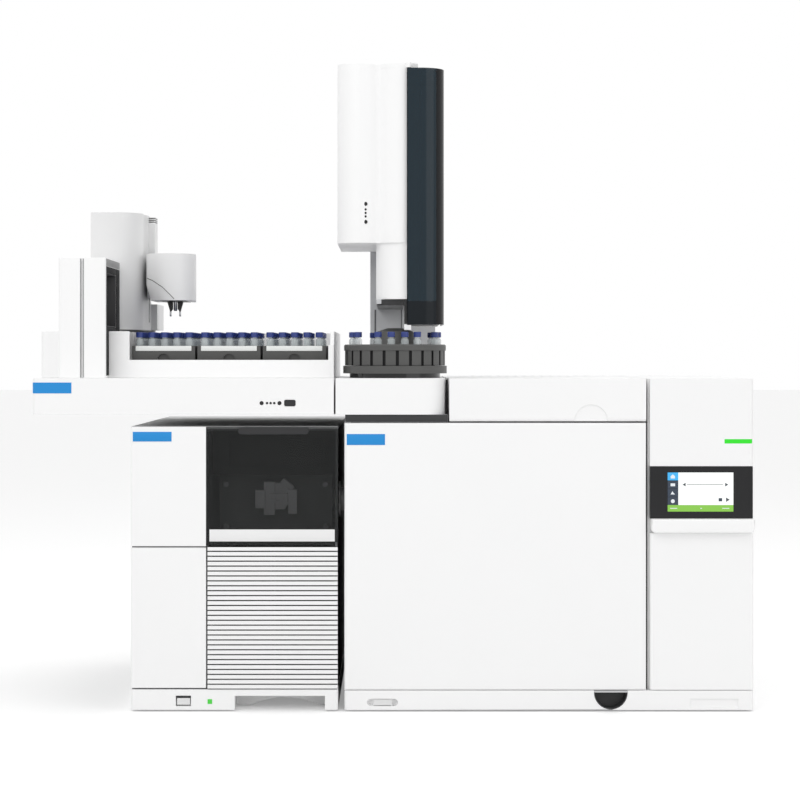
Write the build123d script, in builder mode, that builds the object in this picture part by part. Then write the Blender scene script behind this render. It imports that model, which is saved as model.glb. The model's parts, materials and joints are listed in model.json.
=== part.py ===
"""Bench-top gas chromatograph and mass spectrometer with an automatic liquid sampler.

The mass spectrometer stands on the left, the gas chromatograph on the right.  A vial tray with
its transport arm reaches over the mass spectrometer, and the injector tower with its turret of
vials stands on the chromatograph.  Millimetres, +X to the right, +Y to the back, +Z up; the
origin lies on the bench under the middle of the whole instrument.
"""

from build123d import *
from math import cos, radians, sin
import os

os.makedirs("parts", exist_ok=True)

# ---- Driving dimensions -------------------------------------------------------------------

FRONT = -272.0            # y of the cabinet fronts; depths below are measured back from here
FIT = 0.05                # radial running clearance of pins and shafts
SKIN = 3.0                # wall of the moulded covers

FOOT_R = 15.0
FOOT_H = 2.0
PANEL_T = 8.0             # thickness of the clip-on front panels

# gas chromatograph
GC_LEFT, GC_RIGHT = -69.0, 511.5
GC_DEPTH = 510.0
GC_TOP = 472.0
GC_BASE_TOP = 29.8
DECK_Z = 408.0            # top of the oven block, under the lid
DOOR_RIGHT = 359.0
DOOR_LOW, DOOR_HIGH = 30.4, 409.3
DOOR_T = 22.0
OVEN_FACE = 25.0          # depth of the oven block's front
COLUMN_LEFT = 364.4       # left edge of the control column

OVEN_X = (-6.0, 296.0)
OVEN_Z = (60.0, 386.0)
OVEN_BACK = 262.0
LINER_T = 2.0
FAN_X, FAN_Z = 145.0, 223.0

HINGE_X, HINGE_DEPTH = -63.0, 12.0
HINGE_PIN_R = 3.0

LID_LEFT = 80.0
LID_LOW = 411.2
LID_DEPTH = 250.0
LID_AXIS = (244.0, 462.0)  # depth and height of the lid's hinge
LID_PIN_R = 2.5

# mass spectrometer
MS_LEFT, MS_RIGHT = -372.0, -78.0
MS_DEPTH = 540.0
MS_TOP = 404.0
MS_BASE_TOP = 31.2
MS_SPLIT_X = -264.2       # joint between the plain panels and the window and grille
MS_SPLIT_Z = 233.4        # joint between the upper and lower panels
SHELL = (8.0, 532.0)      # depths of the sheet-metal body behind the panels
SLATS = 29
SLAT_H = 5.1
SLAT_PITCH = 6.98

LINE_Z = 294.6            # transfer line between the two cabinets
LINE_DEPTH = 110.0
LINE_R = 17.0

# vial tray
TRAY_LEFT, TRAY_RIGHT = -511.5, -84.0
TRAY_DEPTH = 450.0
TRAY_LOW, TRAY_TOP = 421.5, 472.5
WALL_TOP = 540.0
RACK_X = (-333.3, -238.3, -143.3)
VIAL_PITCH = 18.0
VIAL_COLUMNS, VIAL_ROWS = 5, 10
ROW_1 = 89.0              # depth of the first row of vials
VIAL_R = 5.8
CAP_R = 5.5
VIAL_LOW, CAP_LOW, CAP_TOP = 507.0, 533.0, 539.0
RACK_TOP = 519.0

# transport arm, parked over the middle of the last row of the left rack
GRIP_X = RACK_X[0]
GRIP_DEPTH = ROW_1 + VIAL_PITCH * (VIAL_ROWS - 1)
ARM_FRONT, ARM_BACK = 195.0, 318.0
ARM_LEFT, ARM_RIGHT = -455.5, -378.0
ARM_LOW, ARM_TOP = 544.0, 721.0
HEAD_LOW, HEAD_TOP = 588.0, 658.8

# injector
TURRET_X, TURRET_DEPTH = 2.9, 89.0
TURRET_R = 72.9
TURRET_PITCH_R = 62.0
TURRET_PLACES = 20
FLUTES, FLUTE_PHASE = 24, 2.6
TURRET_PHASE = 13.0       # degrees; the places stand at this angle plus whole pitches
NEEDLE_PLACE = 2          # the open place that stands under the needle
PLACE_ANGLE = 360.0 / TURRET_PLACES
NEEDLE_ANGLE = radians(TURRET_PHASE + NEEDLE_PLACE * PLACE_ANGLE)
NEEDLE_X = TURRET_X + TURRET_PITCH_R * cos(NEEDLE_ANGLE)
NEEDLE_DEPTH = TURRET_DEPTH + TURRET_PITCH_R * sin(NEEDLE_ANGLE)
TOWER_TOP = 928.0
LOBE_LOW = 667.0          # underside of the drive lobe, which clears the transport head
TOWER_LOW = 586.0
BAY_LOW, BAY_TOP = 549.0, 917.5
TOWER_DOOR_T = 2.7
TOWER_HINGE = (22.4, 37.35)
TOWER_PIN_R = 1.2
CAP_ROUND = 4.0
VALLEY_R = 7.0


# ---- Planes and small helpers --------------------------------------------------------------

def plan(height):
    """Horizontal sketch plane at a height: local x is +X, local y is the depth from the fronts."""
    return Plane(origin=(0, FRONT, height))


def facing(depth):
    """Sketch plane looking at the front, at a depth: local x is +X, local y is the height."""
    return Plane(origin=(0, FRONT + depth, 0), x_dir=(1, 0, 0), z_dir=(0, -1, 0))


def side(x):
    """Sketch plane looking along +X: local x is the depth from the fronts, local y the height."""
    return Plane(origin=(x, FRONT, 0), x_dir=(0, 1, 0), z_dir=(1, 0, 0))


def span(x0, x1, y0, y1, mode=Mode.ADD):
    """Rectangle between its edges, in the active sketch."""
    with Locations(((x0 + x1) / 2, (y0 + y1) / 2)):
        Rectangle(x1 - x0, y1 - y0, mode=mode)


def block(x, depth, z, mode=Mode.ADD):
    """Block between pairs of edges along X, the depth and Z, in the active part."""
    with Locations(((x[0] + x[1]) / 2, FRONT + (depth[0] + depth[1]) / 2, (z[0] + z[1]) / 2)):
        Box(x[1] - x[0], depth[1] - depth[0], z[1] - z[0], mode=mode)


def rod(plane, centre, radius, length, mode=Mode.ADD):
    """Round rod that starts on a sketch plane and grows along its normal."""
    with BuildSketch(plane) as disc:
        with Locations(centre):
            Circle(radius)
    extrude(disc.sketch, amount=length, mode=mode)


def turret_place(index):
    """Centre of one turret place, as X and depth."""
    angle = radians(TURRET_PHASE + index * PLACE_ANGLE)
    return (TURRET_X + TURRET_PITCH_R * cos(angle), TURRET_DEPTH + TURRET_PITCH_R * sin(angle))


# ---- Gas chromatograph: base and oven block --------------------------------------------------

SWITCH_X, SWITCH_Z = (-36.4, 6.8), (8.0, 17.8)
BUTTON_X = (-27.4, -2.4)
STEM_X, STEM_Z = (-18.4, -11.4), (10.5, 15.3)
LATCH_X, LATCH_Z, LATCH_R = 308.9, 26.7, 23.8
TONGUE_X, TONGUE_Z = (LATCH_X - 8, LATCH_X + 8), (27.1, 29.1)
LABEL_X, LABEL_Z = (421.2, 489.6), (5.4, 17.8)

with BuildPart() as gc_base:
    with BuildSketch(plan(FOOT_H)):
        span(GC_LEFT, GC_RIGHT, 0, GC_DEPTH - 8)
        fillet(vertices(), radius=5)
    extrude(amount=GC_BASE_TOP - FOOT_H)
    # power switch recess
    with BuildSketch(facing(0)):
        span(*SWITCH_X, *SWITCH_Z)
        chamfer(vertices(), length=3)
    extrude(amount=-7, mode=Mode.SUBTRACT)
    # guides on both sides of the button, and the slot of its stem
    block((BUTTON_X[0] - 1.2, BUTTON_X[0] - 0.1), (1, 8), SWITCH_Z)
    block((BUTTON_X[1] + 0.1, BUTTON_X[1] + 1.2), (1, 8), SWITCH_Z)
    block((STEM_X[0] - 0.1, STEM_X[1] + 0.1), (6, 15), (STEM_Z[0] - 0.1, STEM_Z[1] + 0.1), mode=Mode.SUBTRACT)
    # finger recess under the oven door latch, and the slot of the latch
    with BuildSketch(facing(0)):
        with Locations((LATCH_X, LATCH_Z)):
            Circle(LATCH_R)
        span(LATCH_X - 30, LATCH_X + 30, LATCH_Z, LATCH_Z + 30, mode=Mode.SUBTRACT)
        span(LATCH_X - LATCH_R, LATCH_X + LATCH_R, LATCH_Z, GC_BASE_TOP)
    extrude(amount=-24, mode=Mode.SUBTRACT)
    block((TONGUE_X[0] - 0.1, TONGUE_X[1] + 0.1), (23, 36), (TONGUE_Z[0] - 0.1, TONGUE_Z[1] + 0.1),
          mode=Mode.SUBTRACT)
    # label recess
    with BuildSketch(facing(0)):
        span(*LABEL_X, *LABEL_Z)
    extrude(amount=-2, mode=Mode.SUBTRACT)
    # lower bearing of the oven door
    rod(plan(GC_BASE_TOP - 9), (HINGE_X, HINGE_DEPTH), HINGE_PIN_R + FIT, 9, mode=Mode.SUBTRACT)
gc_base.part.label = "gc_base"
export_step(gc_base.part, "parts/gc_base.step")

with BuildPart() as feet:
    gc_feet = [(x, d) for x in (GC_LEFT + 40, GC_RIGHT - 40) for d in (70, GC_DEPTH - 60)]
    ms_feet = [(x, d) for x in (MS_LEFT + 40, -87.5) for d in (60, MS_DEPTH - 60)]
    with BuildSketch(plan(0)):
        with Locations(gc_feet):
            Circle(FOOT_R)
        with Locations(ms_feet):
            Circle(FOOT_R * 0.6)
    extrude(amount=FOOT_H)
feet.part.label = "feet"
export_step(feet.part, "parts/feet.step")

with BuildPart() as gc_chassis:
    block((GC_LEFT + 1, DOOR_RIGHT), (OVEN_FACE, GC_DEPTH), (GC_BASE_TOP, DECK_Z))
    # header over the oven door
    block((GC_LEFT + 1, 78), (OVEN_FACE, OVEN_FACE + 4), (DECK_Z, 421))
    block((GC_LEFT + 1, 78), (3, OVEN_FACE + 4), (410.5, 421))
    rod(plan(410.5), (HINGE_X, HINGE_DEPTH), HINGE_PIN_R + FIT, 7, mode=Mode.SUBTRACT)
    # oven cavity, the fan shaft's bearing and the passages of the inlets and the transfer line
    block(OVEN_X, (OVEN_FACE, OVEN_BACK), OVEN_Z, mode=Mode.SUBTRACT)
    rod(facing(OVEN_BACK + 50), (FAN_X, FAN_Z), 6 + FIT, 50, mode=Mode.SUBTRACT)
    rod(side(GC_LEFT), (LINE_DEPTH, LINE_Z), LINE_R + 0.3, 70, mode=Mode.SUBTRACT)
    with BuildSketch(plan(OVEN_Z[1])):
        with Locations((NEEDLE_X, NEEDLE_DEPTH), (112, 190), (250, 150)):
            Circle(6)
    extrude(amount=DECK_Z - OVEN_Z[1], mode=Mode.SUBTRACT)
gc_chassis.part.label = "gc_chassis"
export_step(gc_chassis.part, "parts/gc_chassis.step")

with BuildPart() as oven_liner:
    block(OVEN_X, (OVEN_FACE, OVEN_BACK), OVEN_Z)
    block((OVEN_X[0] + LINER_T, OVEN_X[1] - LINER_T), (OVEN_FACE, OVEN_BACK - LINER_T),
          (OVEN_Z[0] + LINER_T, OVEN_Z[1] - LINER_T), mode=Mode.SUBTRACT)
    rod(facing(OVEN_BACK), (FAN_X, FAN_Z), 8, 4, mode=Mode.SUBTRACT)
    rod(side(OVEN_X[0]), (LINE_DEPTH, LINE_Z), LINE_R + 0.3, 4, mode=Mode.SUBTRACT)
    with BuildSketch(plan(OVEN_Z[1] - LINER_T)):
        with Locations((NEEDLE_X, NEEDLE_DEPTH), (112, 190), (250, 150)):
            Circle(6)
    extrude(amount=LINER_T, mode=Mode.SUBTRACT)
oven_liner.part.label = "oven_liner"
export_step(oven_liner.part, "parts/oven_liner.step")

SHROUD_DEPTH = 205.0
with BuildPart() as oven_shroud:
    # baffle that turns the fan's stream round the oven: open in the middle and all round its edge
    with BuildSketch(facing(SHROUD_DEPTH)):
        span(OVEN_X[0] + 22, OVEN_X[1] - 22, OVEN_Z[0] + 22, OVEN_Z[1] - 22)
        fillet(vertices(), radius=20)
        with Locations((FAN_X, FAN_Z)):
            Circle(60, mode=Mode.SUBTRACT)
    extrude(amount=-1.5)
    # ring with cross wires in the opening, and the four stand-offs
    with BuildSketch(facing(SHROUD_DEPTH)):
        with Locations((FAN_X, FAN_Z)):
            Circle(60)
            Circle(57, mode=Mode.SUBTRACT)
            with PolarLocations(0, 2):
                Rectangle(120, 3)
    extrude(amount=-1.5)
    with BuildSketch(facing(SHROUD_DEPTH + 1.5)):
        with Locations((FAN_X, FAN_Z)):
            with GridLocations(200, 220, 2, 2):
                Rectangle(8, 8)
    extrude(amount=-(OVEN_BACK - LINER_T - SHROUD_DEPTH - 1.5))
oven_shroud.part.label = "oven_shroud"
export_step(oven_shroud.part, "parts/oven_shroud.step")

with BuildPart() as oven_fan:
    with BuildSketch(facing(248)):
        with Locations((FAN_X, FAN_Z)):
            Circle(70)
    extrude(amount=1.2)
    # twelve straight blades round the hub, and the shaft that runs in the block behind
    with BuildSketch(facing(246.8)):
        with Locations((FAN_X, FAN_Z)):
            with PolarLocations(48, 12):
                Rectangle(40, 1.6)
    extrude(amount=26)
    rod(facing(OVEN_BACK + 40), (FAN_X, FAN_Z), 6, 70)
oven_fan.part.label = "oven_fan"
export_step(oven_fan.part, "parts/oven_fan.step")

with BuildPart() as heater_coil:
    with BuildSketch(side(FAN_X)):
        with Locations((232, FAN_Z + 92)):
            RegularPolygon(5, 8)
    revolve(axis=Axis((FAN_X, FRONT, FAN_Z), (0, 1, 0)), revolution_arc=350)
    # the two ends of the element pass to the back wall
    with BuildSketch(facing(232)):
        with Locations((FAN_X, FAN_Z + 92)):
            Circle(3)
    extrude(amount=-(OVEN_BACK - LINER_T - 232))
heater_coil.part.label = "heater_coil"
export_step(heater_coil.part, "parts/heater_coil.step")

COIL_DEPTH = 120.0
with BuildPart() as column_coil:
    # wound capillary column on its wire cage, hung from the oven roof
    with BuildSketch(side(FAN_X)):
        with Locations((COIL_DEPTH, FAN_Z + 88)):
            Rectangle(30, 4)
    revolve(axis=Axis((FAN_X, FRONT, FAN_Z), (0, 1, 0)))
    block((FAN_X - 2, FAN_X + 2), (COIL_DEPTH - 17, COIL_DEPTH - 13), (FAN_Z - 92, OVEN_Z[1] - 2))
    block((FAN_X - 2, FAN_X + 2), (COIL_DEPTH + 13, COIL_DEPTH + 17), (FAN_Z - 92, OVEN_Z[1] - 2))
    block((FAN_X - 92, FAN_X + 92), (COIL_DEPTH - 17, COIL_DEPTH - 13), (FAN_Z - 2, FAN_Z + 2))
    block((FAN_X - 92, FAN_X + 92), (COIL_DEPTH + 13, COIL_DEPTH + 17), (FAN_Z - 2, FAN_Z + 2))
column_coil.part.label = "column_coil"
export_step(column_coil.part, "parts/column_coil.step")

with BuildPart() as inlets:
    # heated body, septum nut and lower fitting of the two inlets
    for x, depth, top in ((NEEDLE_X, NEEDLE_DEPTH, 464.0), (112, 190, 458.0)):
        with BuildSketch(plan(DECK_Z)):
            with Locations((x, depth)):
                Circle(17)
        extrude(amount=top - 12 - DECK_Z)
        with BuildSketch(plan(top - 12)):
            with Locations((x, depth)):
                RegularPolygon(11, 12)
        extrude(amount=12)
        rod(plan(350), (x, depth), 5.5, DECK_Z - 350)
        rod(plan(top - 30), (x, depth), 2, 30, mode=Mode.SUBTRACT)
inlets.part.label = "inlets"
export_step(inlets.part, "parts/inlets.step")

with BuildPart() as detector:
    block((215, 285), (115, 185), (DECK_Z, 432))
    rod(plan(432), (250, 150), 13, 18)
    rod(plan(450), (250, 150), 8, 12)
    rod(plan(350), (250, 150), 5.5, DECK_Z - 350)
detector.part.label = "detector"
export_step(detector.part, "parts/detector.step")

# ---- Gas chromatograph: covers ---------------------------------------------------------------

with BuildPart() as gc_rear_top:
    with BuildSketch(plan(DECK_Z)):
        span(79, DOOR_RIGHT + 2, 257, GC_DEPTH)
        span(GC_LEFT, 79, 385, GC_DEPTH)
    extrude(amount=GC_TOP - DECK_Z)
    # cooling slots in the top
    with BuildSketch(plan(GC_TOP)):
        with Locations((220, 440)):
            with GridLocations(14, 0, 14, 1):
                SlotOverall(70, 5, rotation=90)
    extrude(amount=-6, mode=Mode.SUBTRACT)
    # hot air outlet in the rear wall
    with BuildSketch(facing(GC_DEPTH)):
        with Locations((150, 440)):
            Rectangle(180, 34)
    extrude(amount=30, mode=Mode.SUBTRACT)
gc_rear_top.part.label = "gc_rear_top"
export_step(gc_rear_top.part, "parts/gc_rear_top.step")

with BuildPart() as gc_lid:
    with BuildSketch(side(LID_LEFT)):
        span(0, LID_DEPTH, LID_LOW, GC_TOP)
        fillet(vertices().group_by(Axis.Y)[0].sort_by(Axis.Z)[-1], radius=5)
    extrude(amount=DOOR_RIGHT - LID_LEFT)
    block((LID_LEFT + SKIN, DOOR_RIGHT - SKIN), (4, LID_DEPTH + 1), (LID_LOW - 1, GC_TOP - SKIN),
          mode=Mode.SUBTRACT)
    # shallow finger recess in the lower front edge
    with BuildSketch(facing(0)):
        with Locations((280.8, LID_LOW)):
            Circle(24)
    extrude(amount=-2, mode=Mode.SUBTRACT)
    # hinge pins in the neighbouring covers
    rod(side(70.9), LID_AXIS, LID_PIN_R, LID_LEFT + 1 - 70.9)
    rod(side(DOOR_RIGHT - 1), LID_AXIS, LID_PIN_R, 12)
gc_lid.part.label = "gc_lid"
export_step(gc_lid.part, "parts/gc_lid.step")

DISPLAY_Z = (273.8, 347.7)
SCREEN_X, SCREEN_Z = (389.1, 483.1), (283.1, 339.3)
LIGHT_X, LIGHT_Z = (470.0, GC_RIGHT), (380.0, 386.3)

with BuildPart() as gc_side_box:
    # electronics column: its moulded cover reaches the front above the display
    with BuildSketch(plan(GC_BASE_TOP)):
        span(DOOR_RIGHT + 3, GC_RIGHT, 12, GC_DEPTH)
        fillet(vertices().group_by(Axis.X)[-1], radius=6)
    extrude(amount=GC_TOP - GC_BASE_TOP)
    with BuildSketch(plan(DISPLAY_Z[1] + 0.3)):
        span(COLUMN_LEFT, GC_RIGHT, 0, 20)
        fillet(vertices().group_by(Axis.Y)[0].sort_by(Axis.X)[-1], radius=6)
    extrude(amount=GC_TOP - DISPLAY_Z[1] - 0.3)
    block(LIGHT_X, (0, 1.5), LIGHT_Z, mode=Mode.SUBTRACT)
    rod(side(DOOR_RIGHT + 3), LID_AXIS, LID_PIN_R + FIT, 9, mode=Mode.SUBTRACT)
    # rear fan grille
    with BuildSketch(facing(GC_DEPTH)):
        with Locations((437, 330)):
            with GridLocations(0, 12, 1, 8):
                SlotOverall(90, 5)
    extrude(amount=8, mode=Mode.SUBTRACT)
gc_side_box.part.label = "gc_side_box"
export_step(gc_side_box.part, "parts/gc_side_box.step")

with BuildPart() as gc_lower_panel:
    with BuildSketch(plan(30.6)):
        span(COLUMN_LEFT, GC_RIGHT, 0, 12)
        fillet(vertices().group_by(Axis.Y)[0], radius=4)
    extrude(amount=252.9 - 30.6)
gc_lower_panel.part.label = "gc_lower_panel"
export_step(gc_lower_panel.part, "parts/gc_lower_panel.step")

with BuildPart() as display_bezel:
    block((COLUMN_LEFT, 510.4), (0.5, 12), DISPLAY_Z)
    block(SCREEN_X, (0.5, 4), SCREEN_Z, mode=Mode.SUBTRACT)
display_bezel.part.label = "display_bezel"
export_step(display_bezel.part, "parts/display_bezel.step")

with BuildPart() as touchscreen:
    block(SCREEN_X, (1.2, 4), SCREEN_Z)
touchscreen.part.label = "touchscreen"
export_step(touchscreen.part, "parts/touchscreen.step")

with BuildPart() as display_lip:
    with BuildSketch(facing(12)):
        span(365.5, GC_RIGHT, 253.6, 273.6)
        fillet(vertices().group_by(Axis.Y)[0], radius=6)
    extrude(amount=24)
    fillet(edges().filter_by(Axis.X).group_by(Axis.Y)[0], radius=3)
display_lip.part.label = "display_lip"
export_step(display_lip.part, "parts/display_lip.step")

with BuildPart() as gc_power_button:
    block(BUTTON_X, (1.2, 4.4), (SWITCH_Z[0] + 0.3, SWITCH_Z[1] - 0.3))
    block(STEM_X, (4, 12), STEM_Z)
gc_power_button.part.label = "gc_power_button"
export_step(gc_power_button.part, "parts/gc_power_button.step")

with BuildPart() as door_latch:
    block((LATCH_X - LATCH_R + 0.4, LATCH_X + LATCH_R - 0.4), (1.0, 18), (LATCH_Z + 0.2, GC_BASE_TOP - 0.3))
    block(TONGUE_X, (17, 30), TONGUE_Z)
door_latch.part.label = "door_latch"
export_step(door_latch.part, "parts/door_latch.step")

with BuildPart() as oven_door:
    block((GC_LEFT, DOOR_RIGHT), (0, DOOR_T), (DOOR_LOW, DOOR_HIGH))
    fillet(edges().group_by(Axis.Y)[0], radius=3)
    rod(plan(22), (HINGE_X, HINGE_DEPTH), HINGE_PIN_R, DOOR_LOW - 22)
    rod(plan(DOOR_HIGH), (HINGE_X, HINGE_DEPTH), HINGE_PIN_R, 6)
oven_door.part.label = "oven_door"
export_step(oven_door.part, "parts/oven_door.step")

with BuildPart() as oven_door_plug:
    # insulating plug that closes the oven mouth
    block((0, 287), (DOOR_T, 48), (66, 380))
    chamfer(edges().group_by(Axis.Y)[-1], length=5)
oven_door_plug.part.label = "oven_door_plug"
export_step(oven_door_plug.part, "parts/oven_door_plug.step")

# ---- Mass spectrometer -----------------------------------------------------------------------

MS_SWITCH_X, MS_SWITCH_Z = (-308.0, -286.6), (7.5, 22.3)
MS_STEM_X, MS_STEM_Z = (-300.0, -294.0), (12.0, 16.5)
NOTCH_X, NOTCH_TOP = (-224.4, -96.7), 21.9

with BuildPart() as msd_base:
    with BuildSketch(plan(FOOT_H)):
        span(MS_LEFT, MS_RIGHT, 1, MS_DEPTH - 5)
        fillet(vertices(), radius=4)
    extrude(amount=MS_BASE_TOP - FOOT_H)
    # deep notch in the front edge, with an arched opening in its back wall
    with BuildSketch(facing(0)):
        span(*NOTCH_X, FOOT_H, NOTCH_TOP)
    extrude(amount=-46, mode=Mode.SUBTRACT)
    with BuildSketch(facing(45)):
        with BuildLine():
            arch = ThreePointArc((-205, FOOT_H), (-155, 13), (-105, FOOT_H))
            Line(arch @ 1, arch @ 0)
        make_face()
    extrude(amount=-120, mode=Mode.SUBTRACT)
    # switch recess
    with BuildSketch(facing(1)):
        span(*MS_SWITCH_X, *MS_SWITCH_Z)
    extrude(amount=-9, mode=Mode.SUBTRACT)
    block((MS_STEM_X[0] - 0.1, MS_STEM_X[1] + 0.1), (9, 19), (MS_STEM_Z[0] - 0.1, MS_STEM_Z[1] + 0.1),
          mode=Mode.SUBTRACT)
msd_base.part.label = "msd_base"
export_step(msd_base.part, "parts/msd_base.step")

with BuildPart() as msd_power_button:
    block((-306.3, -287.9), (1.4, 6), (9.5, 19.0))
    block(MS_STEM_X, (5, 16), MS_STEM_Z)
msd_power_button.part.label = "msd_power_button"
export_step(msd_power_button.part, "parts/msd_power_button.step")

BAY_X = (-262.0, -82.0)
SHELF_Z = (235.8, 240.0)
COVER_AXIS = (2.0, 236.6)  # depth and height of the window cover's lower pins
COVER_PIN_R = 1.2

with BuildPart() as msd_chassis:
    block((MS_LEFT + 1, MS_RIGHT - 1), SHELL, (MS_BASE_TOP, 400.5))
    # analyser bay above the shelf, pump bay below it
    block(BAY_X, (SHELL[0], 380), (SHELF_Z[1], 397.5), mode=Mode.SUBTRACT)
    block(BAY_X, (SHELL[0], 380), (MS_BASE_TOP + 3, SHELF_Z[0]), mode=Mode.SUBTRACT)
    rod(plan(SHELF_Z[0]), (-171, 200), 50.5, 5, mode=Mode.SUBTRACT)
    rod(side(-83), (LINE_DEPTH, LINE_Z), LINE_R + 0.3, 5, mode=Mode.SUBTRACT)
    # lug that carries the right pin of the window cover
    block((-82, -79), (0.4, SHELL[0]), (234, 239.5))
    rod(side(-82), COVER_AXIS, COVER_PIN_R + FIT, 3, mode=Mode.SUBTRACT)
    # rear fan grille
    with BuildSketch(facing(SHELL[1])):
        with Locations((-150, 290)):
            with GridLocations(0, 12, 1, 8):
                SlotOverall(90, 5)
    extrude(amount=8, mode=Mode.SUBTRACT)
msd_chassis.part.label = "msd_chassis"
export_step(msd_chassis.part, "parts/msd_chassis.step")

with BuildPart() as msd_top:
    with BuildSketch(plan(400.5)):
        span(MS_LEFT, MS_RIGHT, 8.2, MS_DEPTH)
        fillet(vertices().group_by(Axis.Y)[-1], radius=5)
    extrude(amount=MS_TOP - 400.5)
    # rear return of the cover
    block((MS_LEFT, MS_RIGHT), (MS_DEPTH - 5, MS_DEPTH), (330, 400.5))
msd_top.part.label = "msd_top"
export_step(msd_top.part, "parts/msd_top.step")

with BuildPart() as msd_upper_panel:
    block((MS_LEFT, MS_SPLIT_X - 1), (0, PANEL_T), (MS_SPLIT_Z + 1, MS_TOP - 0.3))
    fillet(edges().filter_by(Axis.Z).group_by(Axis.Y)[0].sort_by(Axis.X)[0], radius=3)
    rod(side(MS_SPLIT_X - 4), COVER_AXIS, COVER_PIN_R + FIT, 3, mode=Mode.SUBTRACT)
msd_upper_panel.part.label = "msd_upper_panel"
export_step(msd_upper_panel.part, "parts/msd_upper_panel.step")

with BuildPart() as msd_lower_panel:
    block((MS_LEFT, MS_SPLIT_X - 1), (0, PANEL_T), (33.4, MS_SPLIT_Z - 1))
    fillet(edges().filter_by(Axis.Z).group_by(Axis.Y)[0].sort_by(Axis.X)[0], radius=3)
msd_lower_panel.part.label = "msd_lower_panel"
export_step(msd_lower_panel.part, "parts/msd_lower_panel.step")

GRILLE_LOW = 32.6
GRILLE_X = (MS_SPLIT_X + 1.2, MS_RIGHT - 0.5)
with BuildPart() as msd_grille:
    # level slats in front of three upright ribs
    with BuildSketch(facing(0)):
        with Locations(((GRILLE_X[0] + GRILLE_X[1]) / 2,
                        GRILLE_LOW + SLAT_H / 2 + SLAT_PITCH * (SLATS - 1) / 2)):
            with GridLocations(0, SLAT_PITCH, 1, SLATS):
                Rectangle(GRILLE_X[1] - GRILLE_X[0], SLAT_H)
    extrude(amount=-4.5)
    slats_top = GRILLE_LOW + SLAT_PITCH * (SLATS - 1) + SLAT_H
    with BuildSketch(facing(4)):
        span(GRILLE_X[0], GRILLE_X[0] + 5, GRILLE_LOW, slats_top)
        span(-173, -168, GRILLE_LOW, slats_top)
        span(GRILLE_X[1] - 5, GRILLE_X[1], GRILLE_LOW, slats_top)
    extrude(amount=-4)
msd_grille.part.label = "msd_grille"
export_step(msd_grille.part, "parts/msd_grille.step")

WINDOW_X = (MS_SPLIT_X + 0.9, MS_RIGHT + 0.3)
with BuildPart() as window_cover:
    # smoked cover that tips forward on two pins; the tab at the top is the finger grip
    block(WINDOW_X, (0, 4), (234.8, MS_TOP - 0.3))
    block((-82.6, -77), (-1, 5), (234, 240.5), mode=Mode.SUBTRACT)
    with BuildSketch(facing(4)):
        span(-219, -119.6, 393, MS_TOP - 0.3)
        fillet(vertices().group_by(Axis.Y)[0], radius=4)
    extrude(amount=-3.5)
    rod(side(MS_SPLIT_X - 3), COVER_AXIS, COVER_PIN_R, 4.5)
    rod(side(-83), COVER_AXIS, COVER_PIN_R, 3.5)
window_cover.part.label = "window_cover"
export_step(window_cover.part, "parts/window_cover.step")

MANIFOLD_FACE = 78.0
with BuildPart() as manifold:
    # cast vacuum manifold with its side plate towards the window
    with BuildSketch(facing(MANIFOLD_FACE)):
        span(-252, -88, 244.3, 388)
        chamfer(vertices().group_by(Axis.Y)[-1], length=18)
    extrude(amount=-14)
    with BuildSketch(facing(MANIFOLD_FACE + 14)):
        span(-244, -96, SHELF_Z[1], 376)
        chamfer(vertices().group_by(Axis.Y)[-1], length=22)
    extrude(amount=-250)
    # fastening bosses of the side plate
    with BuildSketch(facing(MANIFOLD_FACE)):
        with Locations((-170, 316)):
            with GridLocations(144, 118, 2, 2):
                Circle(6)
    extrude(amount=3)
    # port of the transfer line
    rod(side(-96.5), (LINE_DEPTH, LINE_Z), LINE_R + 8, 8.5)
manifold.part.label = "manifold"
export_step(manifold.part, "parts/manifold.step")

with BuildPart() as ion_source:
    # source and filament blocks on the analyser's side plate
    with BuildSketch(facing(MANIFOLD_FACE)):
        with Locations((-168, 301)):
            RegularPolygon(22, 6)
    extrude(amount=8)
    block((-199, -185), (60, MANIFOLD_FACE), (284, 310))
    block((-187, -171), (64, MANIFOLD_FACE), (274, 322))
    block((-178.5, -152), (56, 71), (292.5, 305.5))
    block((-151.5, -139), (60, MANIFOLD_FACE), (276, 311))
    with BuildSketch(facing(66)):
        with BuildLine():
            Polyline((-163, 322), (-158, 327), (-143, 315), (-147, 309), close=True)
        make_face()
    extrude(amount=-12)
    with BuildSketch(facing(56)):
        with Locations((-165.5, 299)):
            Circle(4)
        with Locations((-174, 299), (-157, 299)):
            Circle(1.4)
    extrude(amount=-5, mode=Mode.SUBTRACT)
ion_source.part.label = "ion_source"
export_step(ion_source.part, "parts/ion_source.step")

with BuildPart() as turbo_pump:
    with BuildSketch(side(-171)):
        with BuildLine():
            Polyline((200, 70), (245, 70), (245, 96), (240, 100), (240, 205), (250, 209), (250, 240),
                     (200, 240), close=True)
        make_face()
    revolve(axis=Axis((-171, FRONT + 200, 0), (0, 0, 1)))
    # feet that carry it off the cabinet floor
    block((-190, -152), (190, 210), (MS_BASE_TOP + 3, 71))
turbo_pump.part.label = "turbo_pump"
export_step(turbo_pump.part, "parts/turbo_pump.step")

with BuildPart() as transfer_line:
    # heated tube from the oven into the manifold, with a collar at each cabinet wall
    rod(side(-88), (LINE_DEPTH, LINE_Z), LINE_R, 76)
    rod(side(-79), (LINE_DEPTH, LINE_Z), 26, 2.5)
    rod(side(GC_LEFT - 1.2), (LINE_DEPTH, LINE_Z), 23, 2.2)
    rod(side(-12), (LINE_DEPTH, LINE_Z), 4, 40)
transfer_line.part.label = "transfer_line"
export_step(transfer_line.part, "parts/transfer_line.step")

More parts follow.
